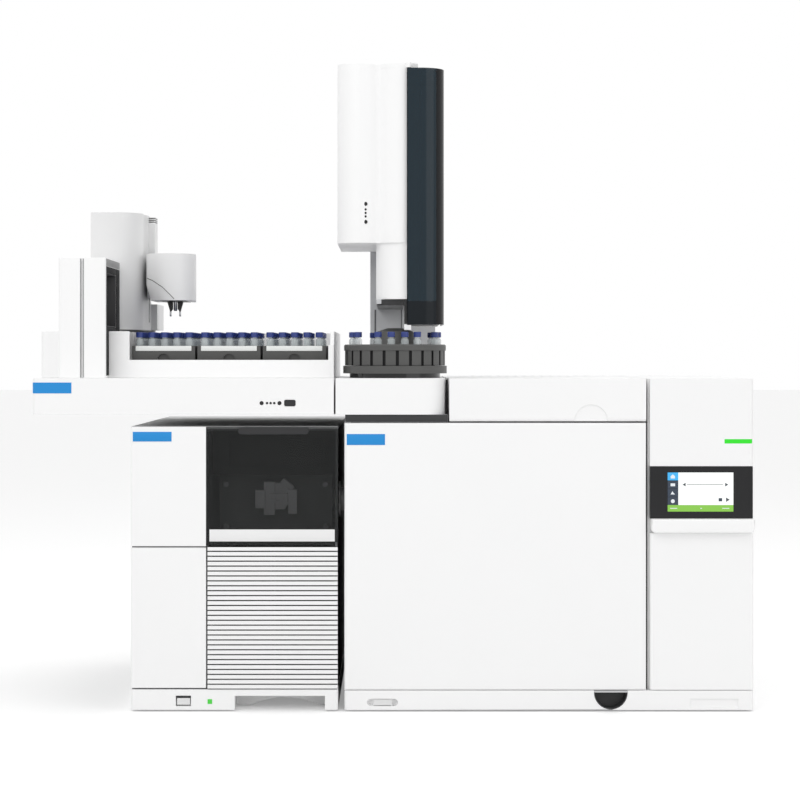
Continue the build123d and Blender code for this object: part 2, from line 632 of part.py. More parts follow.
PORT_X, PORT_Z, PORT_BORE = -320.0, 120.0, 6.0
with BuildPart() as foreline_port:
    # hose nozzle for the roughing pump, on the back of the body
    rod(facing(SHELL[1] + 4), (PORT_X, PORT_Z), 18, 4)
    rod(facing(SHELL[1] + 24), (PORT_X, PORT_Z), 8, 21)
    rod(facing(SHELL[1] + 22), (PORT_X, PORT_Z), 9, 3)
    rod(facing(SHELL[1] + 24), (PORT_X, PORT_Z), PORT_BORE, 24, mode=Mode.SUBTRACT)
foreline_port.part.label = "foreline_port"
export_step(foreline_port.part, "parts/foreline_port.step")

# ---- Vial tray -------------------------------------------------------------------------------

PARK_X, PARK_Z = (-154.4, -138.0), (432.6, 442.2)
PARK_STEM_X, PARK_STEM_Z = (-149.0, -143.4), (435.0, 439.8)

BRACKET_DEPTH = (296.0, 378.0)
BRACKET_LOW = 413.8
with BuildPart() as tray_bracket:
    # plate on the rear of the oven block that reaches out under the tray
    with BuildSketch(plan(BRACKET_LOW)):
        span(-330, 24, *BRACKET_DEPTH)
        chamfer(vertices().group_by(Axis.X)[0], length=20)
    extrude(amount=421 - BRACKET_LOW)
    block((GC_LEFT + 2, 24), BRACKET_DEPTH, (DECK_Z, BRACKET_LOW))
    block((-300, GC_LEFT - 16), (306, 368), (421, TRAY_LOW))
tray_bracket.part.label = "tray_bracket"
export_step(tray_bracket.part, "parts/tray_bracket.step")

with BuildPart() as tray_base:
    with BuildSketch(plan(TRAY_LOW)):
        span(TRAY_LEFT, TRAY_RIGHT, 0, TRAY_DEPTH)
        fillet(vertices().group_by(Axis.X)[0], radius=6)
    extrude(amount=TRAY_TOP - TRAY_LOW)
    with BuildSketch(facing(0)):
        span(*PARK_X, *PARK_Z)
        fillet(vertices(), radius=2.5)
    extrude(amount=-6, mode=Mode.SUBTRACT)
    block((PARK_STEM_X[0] - 0.1, PARK_STEM_X[1] + 0.1), (5, 13),
          (PARK_STEM_Z[0] - 0.1, PARK_STEM_Z[1] + 0.1), mode=Mode.SUBTRACT)
tray_base.part.label = "tray_base"
export_step(tray_base.part, "parts/tray_base.step")

with BuildPart() as park_button:
    with BuildSketch(facing(0.3)):
        span(PARK_X[0] + 0.5, PARK_X[1] - 0.5, PARK_Z[0] + 0.5, PARK_Z[1] - 0.5)
        fillet(vertices(), radius=2)
    extrude(amount=-3)
    block(PARK_STEM_X, (3, 10), PARK_STEM_Z)
park_button.part.label = "park_button"
export_step(park_button.part, "parts/park_button.step")

RAIL_SLOT = (386.0, 404.0)
with BuildPart() as tray_frame:
    # front wall, cut down in front of the racks
    with BuildSketch(facing(60)):
        with BuildLine():
            Polyline((-410.8, TRAY_TOP), (-85.3, TRAY_TOP), (-85.3, 520), (-93.5, 520), (-93.5, 498.5),
                     (-381, 498.5), (-381, WALL_TOP), (-410.8, WALL_TOP), close=True)
        make_face()
    extrude(amount=-5)
    # right wall, stepped up behind the corner post
    with BuildSketch(side(-91)):
        with BuildLine():
            Polyline((65, TRAY_TOP), (346, TRAY_TOP), (346, WALL_TOP), (84, WALL_TOP), (65, 520),
                     close=True)
        make_face()
    extrude(amount=5.7)
    # left housing beside the racks, behind the sample reader
    with BuildSketch(plan(TRAY_TOP)):
        span(-509, -480, 60, 346)
        span(-480, -390, 191, 346)
        fillet(vertices().group_by(Axis.X)[0].sort_by(Axis.Y)[0], radius=8)
    extrude(amount=WALL_TOP - TRAY_TOP)
    # rear housing with the slot of the arm's carriage
    with BuildSketch(plan(TRAY_TOP)):
        span(-509, -85.3, 346, 445)
        fillet(vertices().group_by(Axis.Y)[-1], radius=6)
    extrude(amount=WALL_TOP - TRAY_TOP)
    block((-482, -98), RAIL_SLOT, (TRAY_TOP + 20, WALL_TOP + 1), mode=Mode.SUBTRACT)
tray_frame.part.label = "tray_frame"
export_step(tray_frame.part, "parts/tray_frame.step")

with BuildPart() as sample_reader:
    # upright reader and mixer: groove down its front, vial bay open to the right
    with BuildSketch(plan(TRAY_TOP)):
        span(-479, -411, 30, 189)
        fillet(vertices(), radius=4)
        span(-447.8, -442.6, 29, 33, mode=Mode.SUBTRACT)
    extrude(amount=645 - TRAY_TOP)
    block((-460, -410), (42, 144), (546, 624), mode=Mode.SUBTRACT)
sample_reader.part.label = "sample_reader"
export_step(sample_reader.part, "parts/sample_reader.step")

RACK_W = VIAL_PITCH * VIAL_COLUMNS + 1.5
RACK_DEPTHS = (ROW_1 - 13, GRIP_DEPTH + 13)
RACK_MIDDLE = (RACK_DEPTHS[0] + RACK_DEPTHS[1]) / 2

with BuildPart() as vial_racks:
    with BuildSketch(plan(TRAY_TOP)):
        with Locations(*[(x, RACK_MIDDLE) for x in RACK_X]):
            Rectangle(RACK_W, RACK_DEPTHS[1] - RACK_DEPTHS[0])
    extrude(amount=RACK_TOP - TRAY_TOP)
    # wells, square so that the vial drops in easily
    with BuildSketch(plan(RACK_TOP)):
        with Locations(*[(x, RACK_MIDDLE) for x in RACK_X]):
            with GridLocations(VIAL_PITCH, VIAL_PITCH, VIAL_COLUMNS, VIAL_ROWS):
                Rectangle(2 * VIAL_R + 0.8, 2 * VIAL_R + 0.8)
    extrude(amount=VIAL_LOW - RACK_TOP, mode=Mode.SUBTRACT)
    # finger notch in each front
    with BuildSketch(facing(RACK_DEPTHS[0])):
        with Locations(*[(x, 498.5) for x in RACK_X]):
            Circle(9)
    extrude(amount=-4, mode=Mode.SUBTRACT)
vial_racks.part.label = "vial_racks"
export_step(vial_racks.part, "parts/vial_racks.step")

with BuildPart() as rack_vials:
    with BuildSketch(plan(VIAL_LOW)):
        with Locations(*[(x, RACK_MIDDLE) for x in RACK_X]):
            with GridLocations(VIAL_PITCH, VIAL_PITCH, VIAL_COLUMNS, VIAL_ROWS):
                RegularPolygon(VIAL_R, 6)
    extrude(amount=CAP_LOW - VIAL_LOW)
rack_vials.part.label = "rack_vials"
export_step(rack_vials.part, "parts/rack_vials.step")

with BuildPart() as rack_caps:
    with BuildSketch(plan(CAP_LOW)):
        with Locations(*[(x, RACK_MIDDLE) for x in RACK_X]):
            with GridLocations(VIAL_PITCH, VIAL_PITCH, VIAL_COLUMNS, VIAL_ROWS):
                RegularPolygon(CAP_R, 6)
    extrude(amount=CAP_TOP - CAP_LOW)
rack_caps.part.label = "rack_caps"
export_step(rack_caps.part, "parts/rack_caps.step")

# ---- Transport arm ---------------------------------------------------------------------------

GUIDE_DEPTH = (285.0, 299.0)
SLEEVE_RIGHT, CARRIER_RIGHT = -367.8, -368.4
with BuildPart() as gantry_column:
    # column with a bowed front, rounded back to its right side
    with BuildSketch(plan(ARM_LOW)):
        with BuildLine():
            front_edge = Line((ARM_LEFT, ARM_FRONT), (-410, ARM_FRONT))
            shoulder = ThreePointArc(front_edge @ 1, (-391, 209), (-382, 250))
            Polyline(shoulder @ 1, (ARM_RIGHT, 272), (ARM_RIGHT, ARM_BACK), (ARM_LEFT, ARM_BACK),
                     front_edge @ 0)
        make_face()
    extrude(amount=ARM_TOP - ARM_LOW)
    # rear sleeve over the slides, with a louvred notch under its cap
    block((ARM_RIGHT - 1, SLEEVE_RIGHT), (282, ARM_BACK), (660, ARM_TOP - 2))
    for z in (710.5, 713.3, 716.1):
        block((ARM_RIGHT, SLEEVE_RIGHT + 1), (281, ARM_BACK - 4), (z, z + 1.6), mode=Mode.SUBTRACT)
    # guide of the lift carriage
    block((ARM_RIGHT - 8, ARM_RIGHT + 1), GUIDE_DEPTH, (556, 659), mode=Mode.SUBTRACT)
    # carrier arm to the rear rail, with the neck that runs in its slot
    block((-440, CARRIER_RIGHT), (ARM_BACK, 412), (ARM_LOW + 1, 585))
    block((-440, -380), (RAIL_SLOT[0] + 1, RAIL_SLOT[1] - 1), (TRAY_TOP + 24, ARM_LOW + 1))
gantry_column.part.label = "gantry_column"
export_step(gantry_column.part, "parts/gantry_column.step")

SLIDE_X = (ARM_RIGHT + 0.3, ARM_RIGHT + 6)
RAIL_X = (SLIDE_X[1] + 0.1, SLIDE_X[1] + 4.5)
RAIL_Z = (620.0, 642.0)
HEAD_LEFT = RAIL_X[1] + 0.1
with BuildPart() as gantry_slide:
    block(SLIDE_X, (260, ARM_BACK - 0.5), (594, 652))
    block(SLIDE_X, (ARM_BACK - 1, 384), (RAIL_Z[0] - 2, 652))
    block((ARM_RIGHT - 7, SLIDE_X[0] + 1), (GUIDE_DEPTH[0] + 0.2, GUIDE_DEPTH[1] - 0.2), (594, 652))
gantry_slide.part.label = "gantry_slide"
export_step(gantry_slide.part, "parts/gantry_slide.step")

with BuildPart() as gantry_rail:
    # middle rail of the telescopic slide, between the lift carriage and the head
    block(RAIL_X, (244, 380), RAIL_Z)
gantry_rail.part.label = "gantry_rail"
export_step(gantry_rail.part, "parts/gantry_rail.step")

HEAD_WING, HEAD_RIGHT = -374.6, -299.6
HEAD_R = (HEAD_RIGHT - HEAD_WING) / 2
HEAD_AXIS_DEPTH = 224.0
with BuildPart() as gantry_head:
    # drum-fronted head; its left wing covers the front of the slides
    with BuildSketch(plan(HEAD_LOW)):
        with BuildLine():
            bow = ThreePointArc((HEAD_WING, HEAD_AXIS_DEPTH), (HEAD_WING + HEAD_R, HEAD_AXIS_DEPTH - HEAD_R),
                                (HEAD_RIGHT, HEAD_AXIS_DEPTH))
            Polyline(bow @ 1, (HEAD_RIGHT, 313), (HEAD_LEFT, 313), (HEAD_LEFT, 240), (HEAD_WING, 228),
                     bow @ 0)
        make_face()
    extrude(amount=HEAD_TOP - HEAD_LOW)
    # rail of the telescopic slide, carried on behind the head
    block((HEAD_LEFT, HEAD_LEFT + 5), (300, 380), RAIL_Z)
    # slanted lower corner of the wing
    with BuildSketch(facing(180)):
        with BuildLine():
            Polyline((-380, 629), (-367.2, 587), (-380, 587), close=True)
        make_face()
    extrude(amount=-70, mode=Mode.SUBTRACT)
    # groove that the jaws slide in, and the centre pin
    block((GRIP_X - 18, GRIP_X + 18), (GRIP_DEPTH - 4, GRIP_DEPTH + 4), (HEAD_LOW - 1, HEAD_LOW + 8),
          mode=Mode.SUBTRACT)
    rod(plan(573), (GRIP_X, GRIP_DEPTH), 2.8, HEAD_LOW + 8 - 573)
gantry_head.part.label = "gantry_head"
export_step(gantry_head.part, "parts/gantry_head.step")

FINGER_X = (6.2, 8.2)
for name, sign in (("jaw_left", -1), ("jaw_right", 1)):
    with BuildPart() as jaw:
        # tapered jaw with a thin steel finger
        with BuildSketch(facing(GRIP_DEPTH - 3.8)):
            with BuildLine():
                Polyline(*[(GRIP_X + sign * x, z) for x, z in
                           ((3.6, 594), (10.8, 594), (10.8, 587.8), (12.4, 587.8), (FINGER_X[1], 573),
                            (FINGER_X[1], 564.8), (FINGER_X[0], 564.8), (FINGER_X[0], 573),
                            (3.6, 576))], close=True)
            make_face()
        extrude(amount=-7.6)
    jaw.part.label = name
    export_step(jaw.part, f"parts/{name}.step")

# ---- Injector --------------------------------------------------------------------------------

COVER_X = (-81.5, 74.4)
COVER_DEPTH = 384.0
with BuildPart() as mount_cover:
    # moulded cover over the inlets, its right front corner swept back
    with BuildSketch(plan(421)):
        span(*COVER_X, 0, COVER_DEPTH)
        fillet(vertices().group_by(Axis.Y)[0].sort_by(Axis.X)[-1], radius=34)
    extrude(amount=TRAY_TOP - 421)
    with BuildSketch(plan(420)):
        span(COVER_X[0] + SKIN, COVER_X[1] - SKIN - 1, SKIN + 1, COVER_DEPTH - SKIN)
        fillet(vertices().group_by(Axis.Y)[0].sort_by(Axis.X)[-1], radius=30)
    extrude(amount=TRAY_TOP - 4 - 420, mode=Mode.SUBTRACT)
    rod(plan(TRAY_TOP - 5), (NEEDLE_X, NEEDLE_DEPTH), 7, 6, mode=Mode.SUBTRACT)
    rod(side(COVER_X[1] - 5), LID_AXIS, LID_PIN_R + FIT, 6, mode=Mode.SUBTRACT)
mount_cover.part.label = "mount_cover"
export_step(mount_cover.part, "parts/mount_cover.step")

with BuildPart() as turret_base:
    with BuildSketch(side(TURRET_X)):
        with BuildLine():
            Polyline((TURRET_DEPTH, TRAY_TOP), (TURRET_DEPTH + 66, TRAY_TOP), (TURRET_DEPTH + 66, 479),
                     (TURRET_DEPTH + 75.5, 479), (TURRET_DEPTH + 75.5, 490), (TURRET_DEPTH + 8, 490),
                     (TURRET_DEPTH + 8, 504), (TURRET_DEPTH, 504), close=True)
        make_face()
    revolve(axis=Axis((TURRET_X, FRONT + TURRET_DEPTH, 0), (0, 0, 1)))
    rod(plan(TRAY_TOP - 1), (NEEDLE_X, NEEDLE_DEPTH), 5.5, 20, mode=Mode.SUBTRACT)
turret_base.part.label = "turret_base"
export_step(turret_base.part, "parts/turret_base.step")

OPEN_PLACES = [(NEEDLE_PLACE + 5 * quarter) % TURRET_PLACES for quarter in range(4)]
VIAL_PLACES = [turret_place(i) for i in range(TURRET_PLACES) if i not in OPEN_PLACES]

with BuildPart() as turret:
    # carousel: fluted drum between rim and hub
    with BuildSketch(side(TURRET_X)):
        with BuildLine():
            Polyline((TURRET_DEPTH, 490.4), (TURRET_DEPTH + TURRET_R, 490.4), (TURRET_DEPTH + TURRET_R, 512),
                     (TURRET_DEPTH + TURRET_R + 1.3, 512), (TURRET_DEPTH + TURRET_R + 1.3, 519),
                     (TURRET_DEPTH + TURRET_R, 520.8), (TURRET_DEPTH + 32, 520.8), (TURRET_DEPTH + 26, 540),
                     (TURRET_DEPTH + 11, 544.7), (TURRET_DEPTH, 544.7), close=True)
        make_face()
    revolve(axis=Axis((TURRET_X, FRONT + TURRET_DEPTH, 0), (0, 0, 1)))
    # flutes round the drum
    with BuildSketch(plan(490.4)):
        with Locations((TURRET_X, TURRET_DEPTH)):
            with PolarLocations(TURRET_R, FLUTES, start_angle=FLUTE_PHASE):
                Rectangle(5, 4.2)
    extrude(amount=512 - 490.4, mode=Mode.SUBTRACT)
    # wells of the vials and the open places for the needle
    with BuildSketch(plan(522)):
        with Locations(*VIAL_PLACES):
            RegularPolygon(VIAL_R + 0.6, 8)
    extrude(amount=VIAL_LOW - 522, mode=Mode.SUBTRACT)
    with BuildSketch(plan(489)):
        with Locations(*[turret_place(i) for i in OPEN_PLACES]):
            RegularPolygon(5.5, 8)
    extrude(amount=60, mode=Mode.SUBTRACT)
    rod(plan(490), (TURRET_X, TURRET_DEPTH), 8 + FIT, 14.4, mode=Mode.SUBTRACT)
turret.part.label = "turret"
export_step(turret.part, "parts/turret.step")

with BuildPart() as turret_vials:
    with BuildSketch(plan(VIAL_LOW)):
        with Locations(*VIAL_PLACES):
            RegularPolygon(VIAL_R, 6)
    extrude(amount=CAP_LOW - VIAL_LOW)
turret_vials.part.label = "turret_vials"
export_step(turret_vials.part, "parts/turret_vials.step")

with BuildPart() as turret_caps:
    with BuildSketch(plan(CAP_LOW)):
        with Locations(*VIAL_PLACES):
            RegularPolygon(CAP_R, 6)
    extrude(amount=CAP_TOP - CAP_LOW)
turret_caps.part.label = "turret_caps"
export_step(turret_caps.part, "parts/turret_caps.step")

TOWER_BACK = 317.0
POST_X = (-35.5, 66.0)
with BuildPart() as tower_post:
    # post on the mount cover, with the shelf that the tower sits on
    block(POST_X, (TOWER_BACK, 376), (TRAY_TOP, 780))
    block((-24, 16), (50, TOWER_BACK + 2), (579, TOWER_LOW))
tower_post.part.label = "tower_post"
export_step(tower_post.part, "parts/tower_post.step")

with BuildPart() as tower_body:
    # cap over both lobes, rounded along its top; it reaches over the door's hinge
    with BuildSketch(plan(BAY_TOP + 0.6)):
        with BuildLine():
            lobe = ThreePointArc((-80.6, 72), (-56, 42), (-21, 58))
            middle = ThreePointArc(lobe @ 1, (2, 38), (36, 52))
            Polyline(middle @ 1, (36, 200), (67, 200), (67, TOWER_BACK), (-80.6, TOWER_BACK), lobe @ 0)
        make_face()
        fillet(vertices().sort_by_distance((-21, 58))[0], radius=VALLEY_R)
    extrude(amount=TOWER_TOP - BAY_TOP - 0.6)
    fillet(edges().group_by(Axis.Z)[-1], radius=CAP_ROUND)
    # drive lobe on the left and syringe lobe in the middle, both with bowed fronts
    with BuildSketch(plan(LOBE_LOW)):
        with BuildLine():
            lobe = ThreePointArc((-80.6, 72), (-56, 42), (-21, 58))
            middle = ThreePointArc(lobe @ 1, (-2, 39.5), (20, 39))
            Polyline(middle @ 1, (20, 200), (67, 200), (67, TOWER_BACK), (-80.6, TOWER_BACK), lobe @ 0)
        make_face()
        fillet(vertices().sort_by_distance((-21, 58))[0], radius=VALLEY_R)
    extrude(amount=BAY_TOP + 0.6 - LOBE_LOW)
    # the syringe lobe goes on down to the shelf
    with BuildSketch(plan(TOWER_LOW)):
        with BuildLine():
            lower = ThreePointArc((-24.4, 66), (-6, 46), (20, 40))
            Polyline(lower @ 1, (20, 200), (67, 200), (67, TOWER_BACK), (-24.4, TOWER_BACK), lower @ 0)
        make_face()
    extrude(amount=LOBE_LOW - TOWER_LOW)
    # floor and roof of the syringe bay, with the bearings of the door
    block((20, 67), (200, 250), (BAY_LOW, TOWER_LOW))
    with BuildSketch(plan(BAY_LOW + 0.4)):
        span(16, 67, 42, 201)
        fillet(vertices().group_by(Axis.Y)[0].sort_by(Axis.X)[-1], radius=28)
    extrude(amount=4.6)
    block((16, 20), (42, 201), (BAY_LOW + 0.4, TOWER_LOW + 1))
    with BuildSketch(plan(BAY_TOP - 6)):
        span(19, 67, 42, 201)
        fillet(vertices().group_by(Axis.Y)[0].sort_by(Axis.X)[-1], radius=28)
    extrude(amount=5.4)
    block((22, 36), (60, 200), (BAY_TOP - 2, BAY_TOP + 2))
    # boss on the cap and lug under the floor for the door's pins, then their bores
    with BuildSketch(plan(BAY_TOP + 0.6)):
        span(19, 25.8, 37.35, 46)
        with Locations(TOWER_HINGE):
            Circle(3.4)
    extrude(amount=7.4)
    block((16, 26), (34.6, 46), (BAY_LOW - 7.5, BAY_LOW - 0.4))
    block((16, 20), (40, 46), (BAY_LOW - 1, BAY_LOW + 1))
    rod(plan(BAY_LOW - 8), TOWER_HINGE, TOWER_PIN_R + FIT, 8, mode=Mode.SUBTRACT)
    rod(plan(BAY_TOP), TOWER_HINGE, TOWER_PIN_R + FIT, 7, mode=Mode.SUBTRACT)
    rod(plan(BAY_LOW), (NEEDLE_X, NEEDLE_DEPTH), 5.5, 8, mode=Mode.SUBTRACT)
tower_body.part.label = "tower_body"
export_step(tower_body.part, "parts/tower_body.step")

with BuildPart() as tower_door:
    # tinted door that wraps from the front round to the right side
    with BuildSketch(plan(BAY_LOW)):
        with BuildLine():
            Line((20.8, 36), (40, 36))
            bend = JernArc((40, 36), (1, 0), 31, 90)
            Line(bend @ 1, (71, 205))
            offset(amount=TOWER_DOOR_T, side=Side.LEFT)
        make_face()
    extrude(amount=BAY_TOP - BAY_LOW)
    rod(plan(BAY_LOW - 6.5), TOWER_HINGE, TOWER_PIN_R, 7)
    rod(plan(BAY_TOP - 0.5), TOWER_HINGE, TOWER_PIN_R, 6.5)
tower_door.part.label = "tower_door"
export_step(tower_door.part, "parts/tower_door.step")

NEEDLE_TIP = 556.0
BARREL_Z = (656.0, 722.0)
DRIVER_Z = (734.0, 739.0)
with BuildPart() as syringe_carriage:
    # block that rides on the bay's back wall, with the two clamps of the syringe
    block((27, 62), (176, 199.9), (668, 800))
    block((NEEDLE_X - 8, NEEDLE_X + 8), (NEEDLE_DEPTH - 8, 177), (672, 682))
    block((NEEDLE_X - 8, NEEDLE_X + 8), (NEEDLE_DEPTH - 8, 177), (700, 712))
    rod(plan(BARREL_Z[0]), (NEEDLE_X, NEEDLE_DEPTH), 4.6, BARREL_Z[1] - BARREL_Z[0], mode=Mode.SUBTRACT)
    # slot of the plunger's driver
    block((NEEDLE_X - 3, NEEDLE_X + 3), (175, 184), (DRIVER_Z[0] - 2, 795), mode=Mode.SUBTRACT)
syringe_carriage.part.label = "syringe_carriage"
export_step(syringe_carriage.part, "parts/syringe_carriage.step")

with BuildPart() as syringe:
    rod(plan(BARREL_Z[0]), (NEEDLE_X, NEEDLE_DEPTH), 4.6, BARREL_Z[1] - BARREL_Z[0])
    rod(plan(NEEDLE_TIP), (NEEDLE_X, NEEDLE_DEPTH), 0.6, BARREL_Z[0] - NEEDLE_TIP)
    rod(plan(BARREL_Z[0] + 3), (NEEDLE_X, NEEDLE_DEPTH), 1.2, 70, mode=Mode.SUBTRACT)
syringe.part.label = "syringe"
export_step(syringe.part, "parts/syringe.step")

with BuildPart() as plunger:
    # plunger rod, its button and the driver that draws it
    rod(plan(BARREL_Z[0] + 14), (NEEDLE_X, NEEDLE_DEPTH), 1.15, 72)
    rod(plan(BARREL_Z[1] + 16), (NEEDLE_X, NEEDLE_DEPTH), 4, 4)
    block((NEEDLE_X - 6, NEEDLE_X + 6), (NEEDLE_DEPTH, 175.6), DRIVER_Z)
    block((NEEDLE_X - 2.9, NEEDLE_X + 2.9), (175, 183.9), DRIVER_Z)
plunger.part.label = "plunger"
export_step(plunger.part, "parts/plunger.step")

# ---- Lamps -----------------------------------------------------------------------------------

TRAY_LAMP_Z = 437.3
with BuildPart() as indicator_lamps:
    # light bar of the chromatograph, lamp of the mass spectrometer, lamps of the tray
    block(LIGHT_X, (0, 1.5), LIGHT_Z)
    block((-262.9, -256.5), (0.4, 1), (10.8, 17.4))
    with BuildSketch(facing(0)):
        with Locations((-186.3, TRAY_LAMP_Z), (-160.9, TRAY_LAMP_Z)):
            Circle(3)
        with Locations((-178.6, TRAY_LAMP_Z), (-173.5, TRAY_LAMP_Z), (-168.3, TRAY_LAMP_Z)):
            Circle(1.8)
    extrude(amount=0.6)
indicator_lamps.part.label = "indicator_lamps"
export_step(indicator_lamps.part, "parts/indicator_lamps.step")
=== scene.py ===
"""Looks of the bench-top gas chromatograph and mass spectrometer with its vial sampler.

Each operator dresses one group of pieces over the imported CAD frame.  Sizes are written in
millimetres and depths run back from the cabinet fronts, as in the part's source.
"""

import json
from math import cos, pi, radians, sin

import bmesh
import bpy
from mathutils import Matrix, Vector


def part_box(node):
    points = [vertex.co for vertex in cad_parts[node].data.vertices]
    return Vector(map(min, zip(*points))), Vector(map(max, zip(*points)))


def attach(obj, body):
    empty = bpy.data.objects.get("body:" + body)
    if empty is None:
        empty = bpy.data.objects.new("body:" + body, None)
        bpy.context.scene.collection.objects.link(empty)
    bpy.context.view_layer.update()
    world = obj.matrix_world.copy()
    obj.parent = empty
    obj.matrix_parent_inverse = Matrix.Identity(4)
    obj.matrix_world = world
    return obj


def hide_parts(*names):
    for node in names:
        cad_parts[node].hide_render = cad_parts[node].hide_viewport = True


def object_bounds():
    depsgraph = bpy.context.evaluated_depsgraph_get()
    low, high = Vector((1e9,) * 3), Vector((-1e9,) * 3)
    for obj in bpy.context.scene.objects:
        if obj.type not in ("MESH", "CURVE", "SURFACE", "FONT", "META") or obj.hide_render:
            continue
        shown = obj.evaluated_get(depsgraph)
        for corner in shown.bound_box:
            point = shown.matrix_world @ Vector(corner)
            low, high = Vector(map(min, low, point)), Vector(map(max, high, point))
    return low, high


bl_info = {
    "name": "Bench Mass Spectrometer",
    "version": (1, 0, 0),
    "blender": (4, 5, 0),
    "location": "View3D > Sidebar > Instrument",
    "description": "Dresses a gas chromatograph, mass spectrometer and vial sampler",
    "category": "Object",
}

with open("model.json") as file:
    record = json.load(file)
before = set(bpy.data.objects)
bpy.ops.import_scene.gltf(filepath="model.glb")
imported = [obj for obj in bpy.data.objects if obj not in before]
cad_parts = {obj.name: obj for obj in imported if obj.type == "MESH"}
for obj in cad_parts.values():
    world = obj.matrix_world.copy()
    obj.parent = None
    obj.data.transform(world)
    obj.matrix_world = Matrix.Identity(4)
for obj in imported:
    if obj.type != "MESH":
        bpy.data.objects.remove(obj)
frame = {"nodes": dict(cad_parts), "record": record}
CAD_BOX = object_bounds()

MM = 0.001
FRONT = CAD_BOX[0].y / MM + 12.0      # y of the cabinet fronts; the display's lip stands 12 mm proud
RECORD = frame["record"]
NODE_BODY = {node: body for body, nodes in RECORD["behaviour"]["bodies"].items() for node in nodes}
NODE_SLOT = {row["node"]: row["material_slot"] for row in RECORD["subparts"]}

SMOOTH_ANGLE = radians(32)
EDGE_ANGLE = radians(40)


# ---- Colours (linear) ------------------------------------------------------------------------

def shade(red, green, blue):
    """Linear colour from screen values of 0 to 255."""
    return tuple(((c / 255 + 0.055) / 1.055) ** 2.4 if c > 10 else c / 255 / 12.92
                 for c in (red, green, blue))


# ---- Mesh helpers ----------------------------------------------------------------------------

def place(x, depth, z):
    """Point in the frame from X, depth behind the fronts and Z, in millimetres."""
    return Vector((x, FRONT + depth, z)) * MM


def box_mm(node):
    """Corners of a CAD node as X, depth and Z ranges in millimetres."""
    low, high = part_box(node)
    return ((low[0] / MM, high[0] / MM), (low[1] / MM - FRONT, high[1] / MM - FRONT),
            (low[2] / MM, high[2] / MM))


def slab(bm, x, depth, z, rounding=0.0, segments=2, material=0):
    """Block between pairs of edges, with its own rounded edges."""
    made = bmesh.ops.create_cube(bm, size=1.0)
    verts = made["verts"]
    size = Vector((x[1] - x[0], depth[1] - depth[0], z[1] - z[0])) * MM
    centre = place((x[0] + x[1]) / 2, (depth[0] + depth[1]) / 2, (z[0] + z[1]) / 2)
    for vert in verts:
        vert.co = Vector((vert.co.x * size.x, vert.co.y * size.y, vert.co.z * size.z)) + centre
    faces = {face for vert in verts for face in vert.link_faces}
    for face in faces:
        face.material_index = material
    if rounding:
        edges = {edge for vert in verts for edge in vert.link_edges}
        bmesh.ops.bevel(bm, geom=list(edges), offset=rounding * MM, segments=segments, affect="EDGES",
                        profile=0.5, clamp_overlap=True, material=-1)


def plate(bm, points, depth, material=0):
    """Upright plate from an outline of (X, Z) points, between two depths."""
    rings = [[bm.verts.new(place(x, d, z)) for x, z in points] for d in depth]
    close_rings(bm, rings, material)


def plan_plate(bm, points, z, material=0):
    """Level plate from an outline of (X, depth) points, between two heights."""
    rings = [[bm.verts.new(place(x, d, height)) for x, d in points] for height in z]
    close_rings(bm, rings, material)


def close_rings(bm, rings, material=0):
    """Joins rings of points with sides, and closes the first and the last ring."""
    faces = [bm.faces.new(rings[0]), bm.faces.new(list(reversed(rings[-1])))]
    count = len(rings[0])
    for lower, upper in zip(rings, rings[1:]):
        for i in range(count):
            j = (i + 1) % count
            faces.append(bm.faces.new((lower[j], lower[i], upper[i], upper[j])))
    for face in faces:
        face.material_index = material


def lathe(bm, profile, centre, axis="Z", segments=32, material=0):
    """Turned form: profile of (radius, distance along the axis) round a centre."""
    turn = {"Z": lambda r, a, h: Vector((r * cos(a), r * sin(a), h)),
            "Y": lambda r, a, h: Vector((r * cos(a), h, r * sin(a))),
            "X": lambda r, a, h: Vector((h, r * cos(a), r * sin(a)))}[axis]
    origin = place(*centre)
    rings = []
    for radius, height in profile:
        if radius <= 0:
            rings.append([bm.verts.new(turn(0, 0, height) * MM + origin)])
        else:
            rings.append([bm.verts.new(turn(radius, 2 * pi * i / segments, height) * MM + origin)
                          for i in range(segments)])
    for lower, upper in zip(rings, rings[1:]):
        for i in range(segments):
            j = (i + 1) % segments
            corners = [lower[i % len(lower)], lower[j % len(lower)], upper[j % len(upper)],
                       upper[i % len(upper)]]
            unique = list(dict.fromkeys(corners))
            if len(unique) > 2:
                bm.faces.new(unique).material_index = material


def arc(centre, radius, start, end, count):
    """Points of an arc between two angles in degrees."""
    step = (end - start) / count
    return [(centre[0] + radius * cos(radians(start + step * i)),
             centre[1] + radius * sin(radians(start + step * i))) for i in range(count + 1)]


def finish_mesh(bm):
    """Makes the faces point outwards and smooths all but the sharp edges."""
    bmesh.ops.recalc_face_normals(bm, faces=bm.faces)
    for face in bm.faces:
        face.smooth = True
    for edge in bm.edges:
        edge.smooth = edge.calc_face_angle(0.0) < SMOOTH_ANGLE


def piece(name, bm, body, *materials, stands_for=(), slot=None, rounding=0.0):
    """Object from a bmesh that rides on a body and may stand for CAD nodes."""
    finish_mesh(bm)
    mesh = bpy.data.meshes.new(name)
    bm.to_mesh(mesh)
    bm.free()
    if not mesh.polygons:
        raise RuntimeError(f"{name} has no faces")
    for material in materials:
        mesh.materials.append(material)
    made = bpy.data.objects.new(name, mesh)
    bpy.context.scene.collection.objects.link(made)
    if rounding:
        round_edges(made, rounding)
    if stands_for:
        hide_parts(*stands_for)
    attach(made, body)
    return made


def round_edges(made, width, segments=2):
    """Small rounded edges that catch the light."""
    bevel = made.modifiers.new("rounded edges", "BEVEL")
    bevel.width = width * MM
    bevel.segments = segments
    bevel.limit_method = "ANGLE"
    bevel.angle_limit = EDGE_ANGLE
    bevel.harden_normals = True


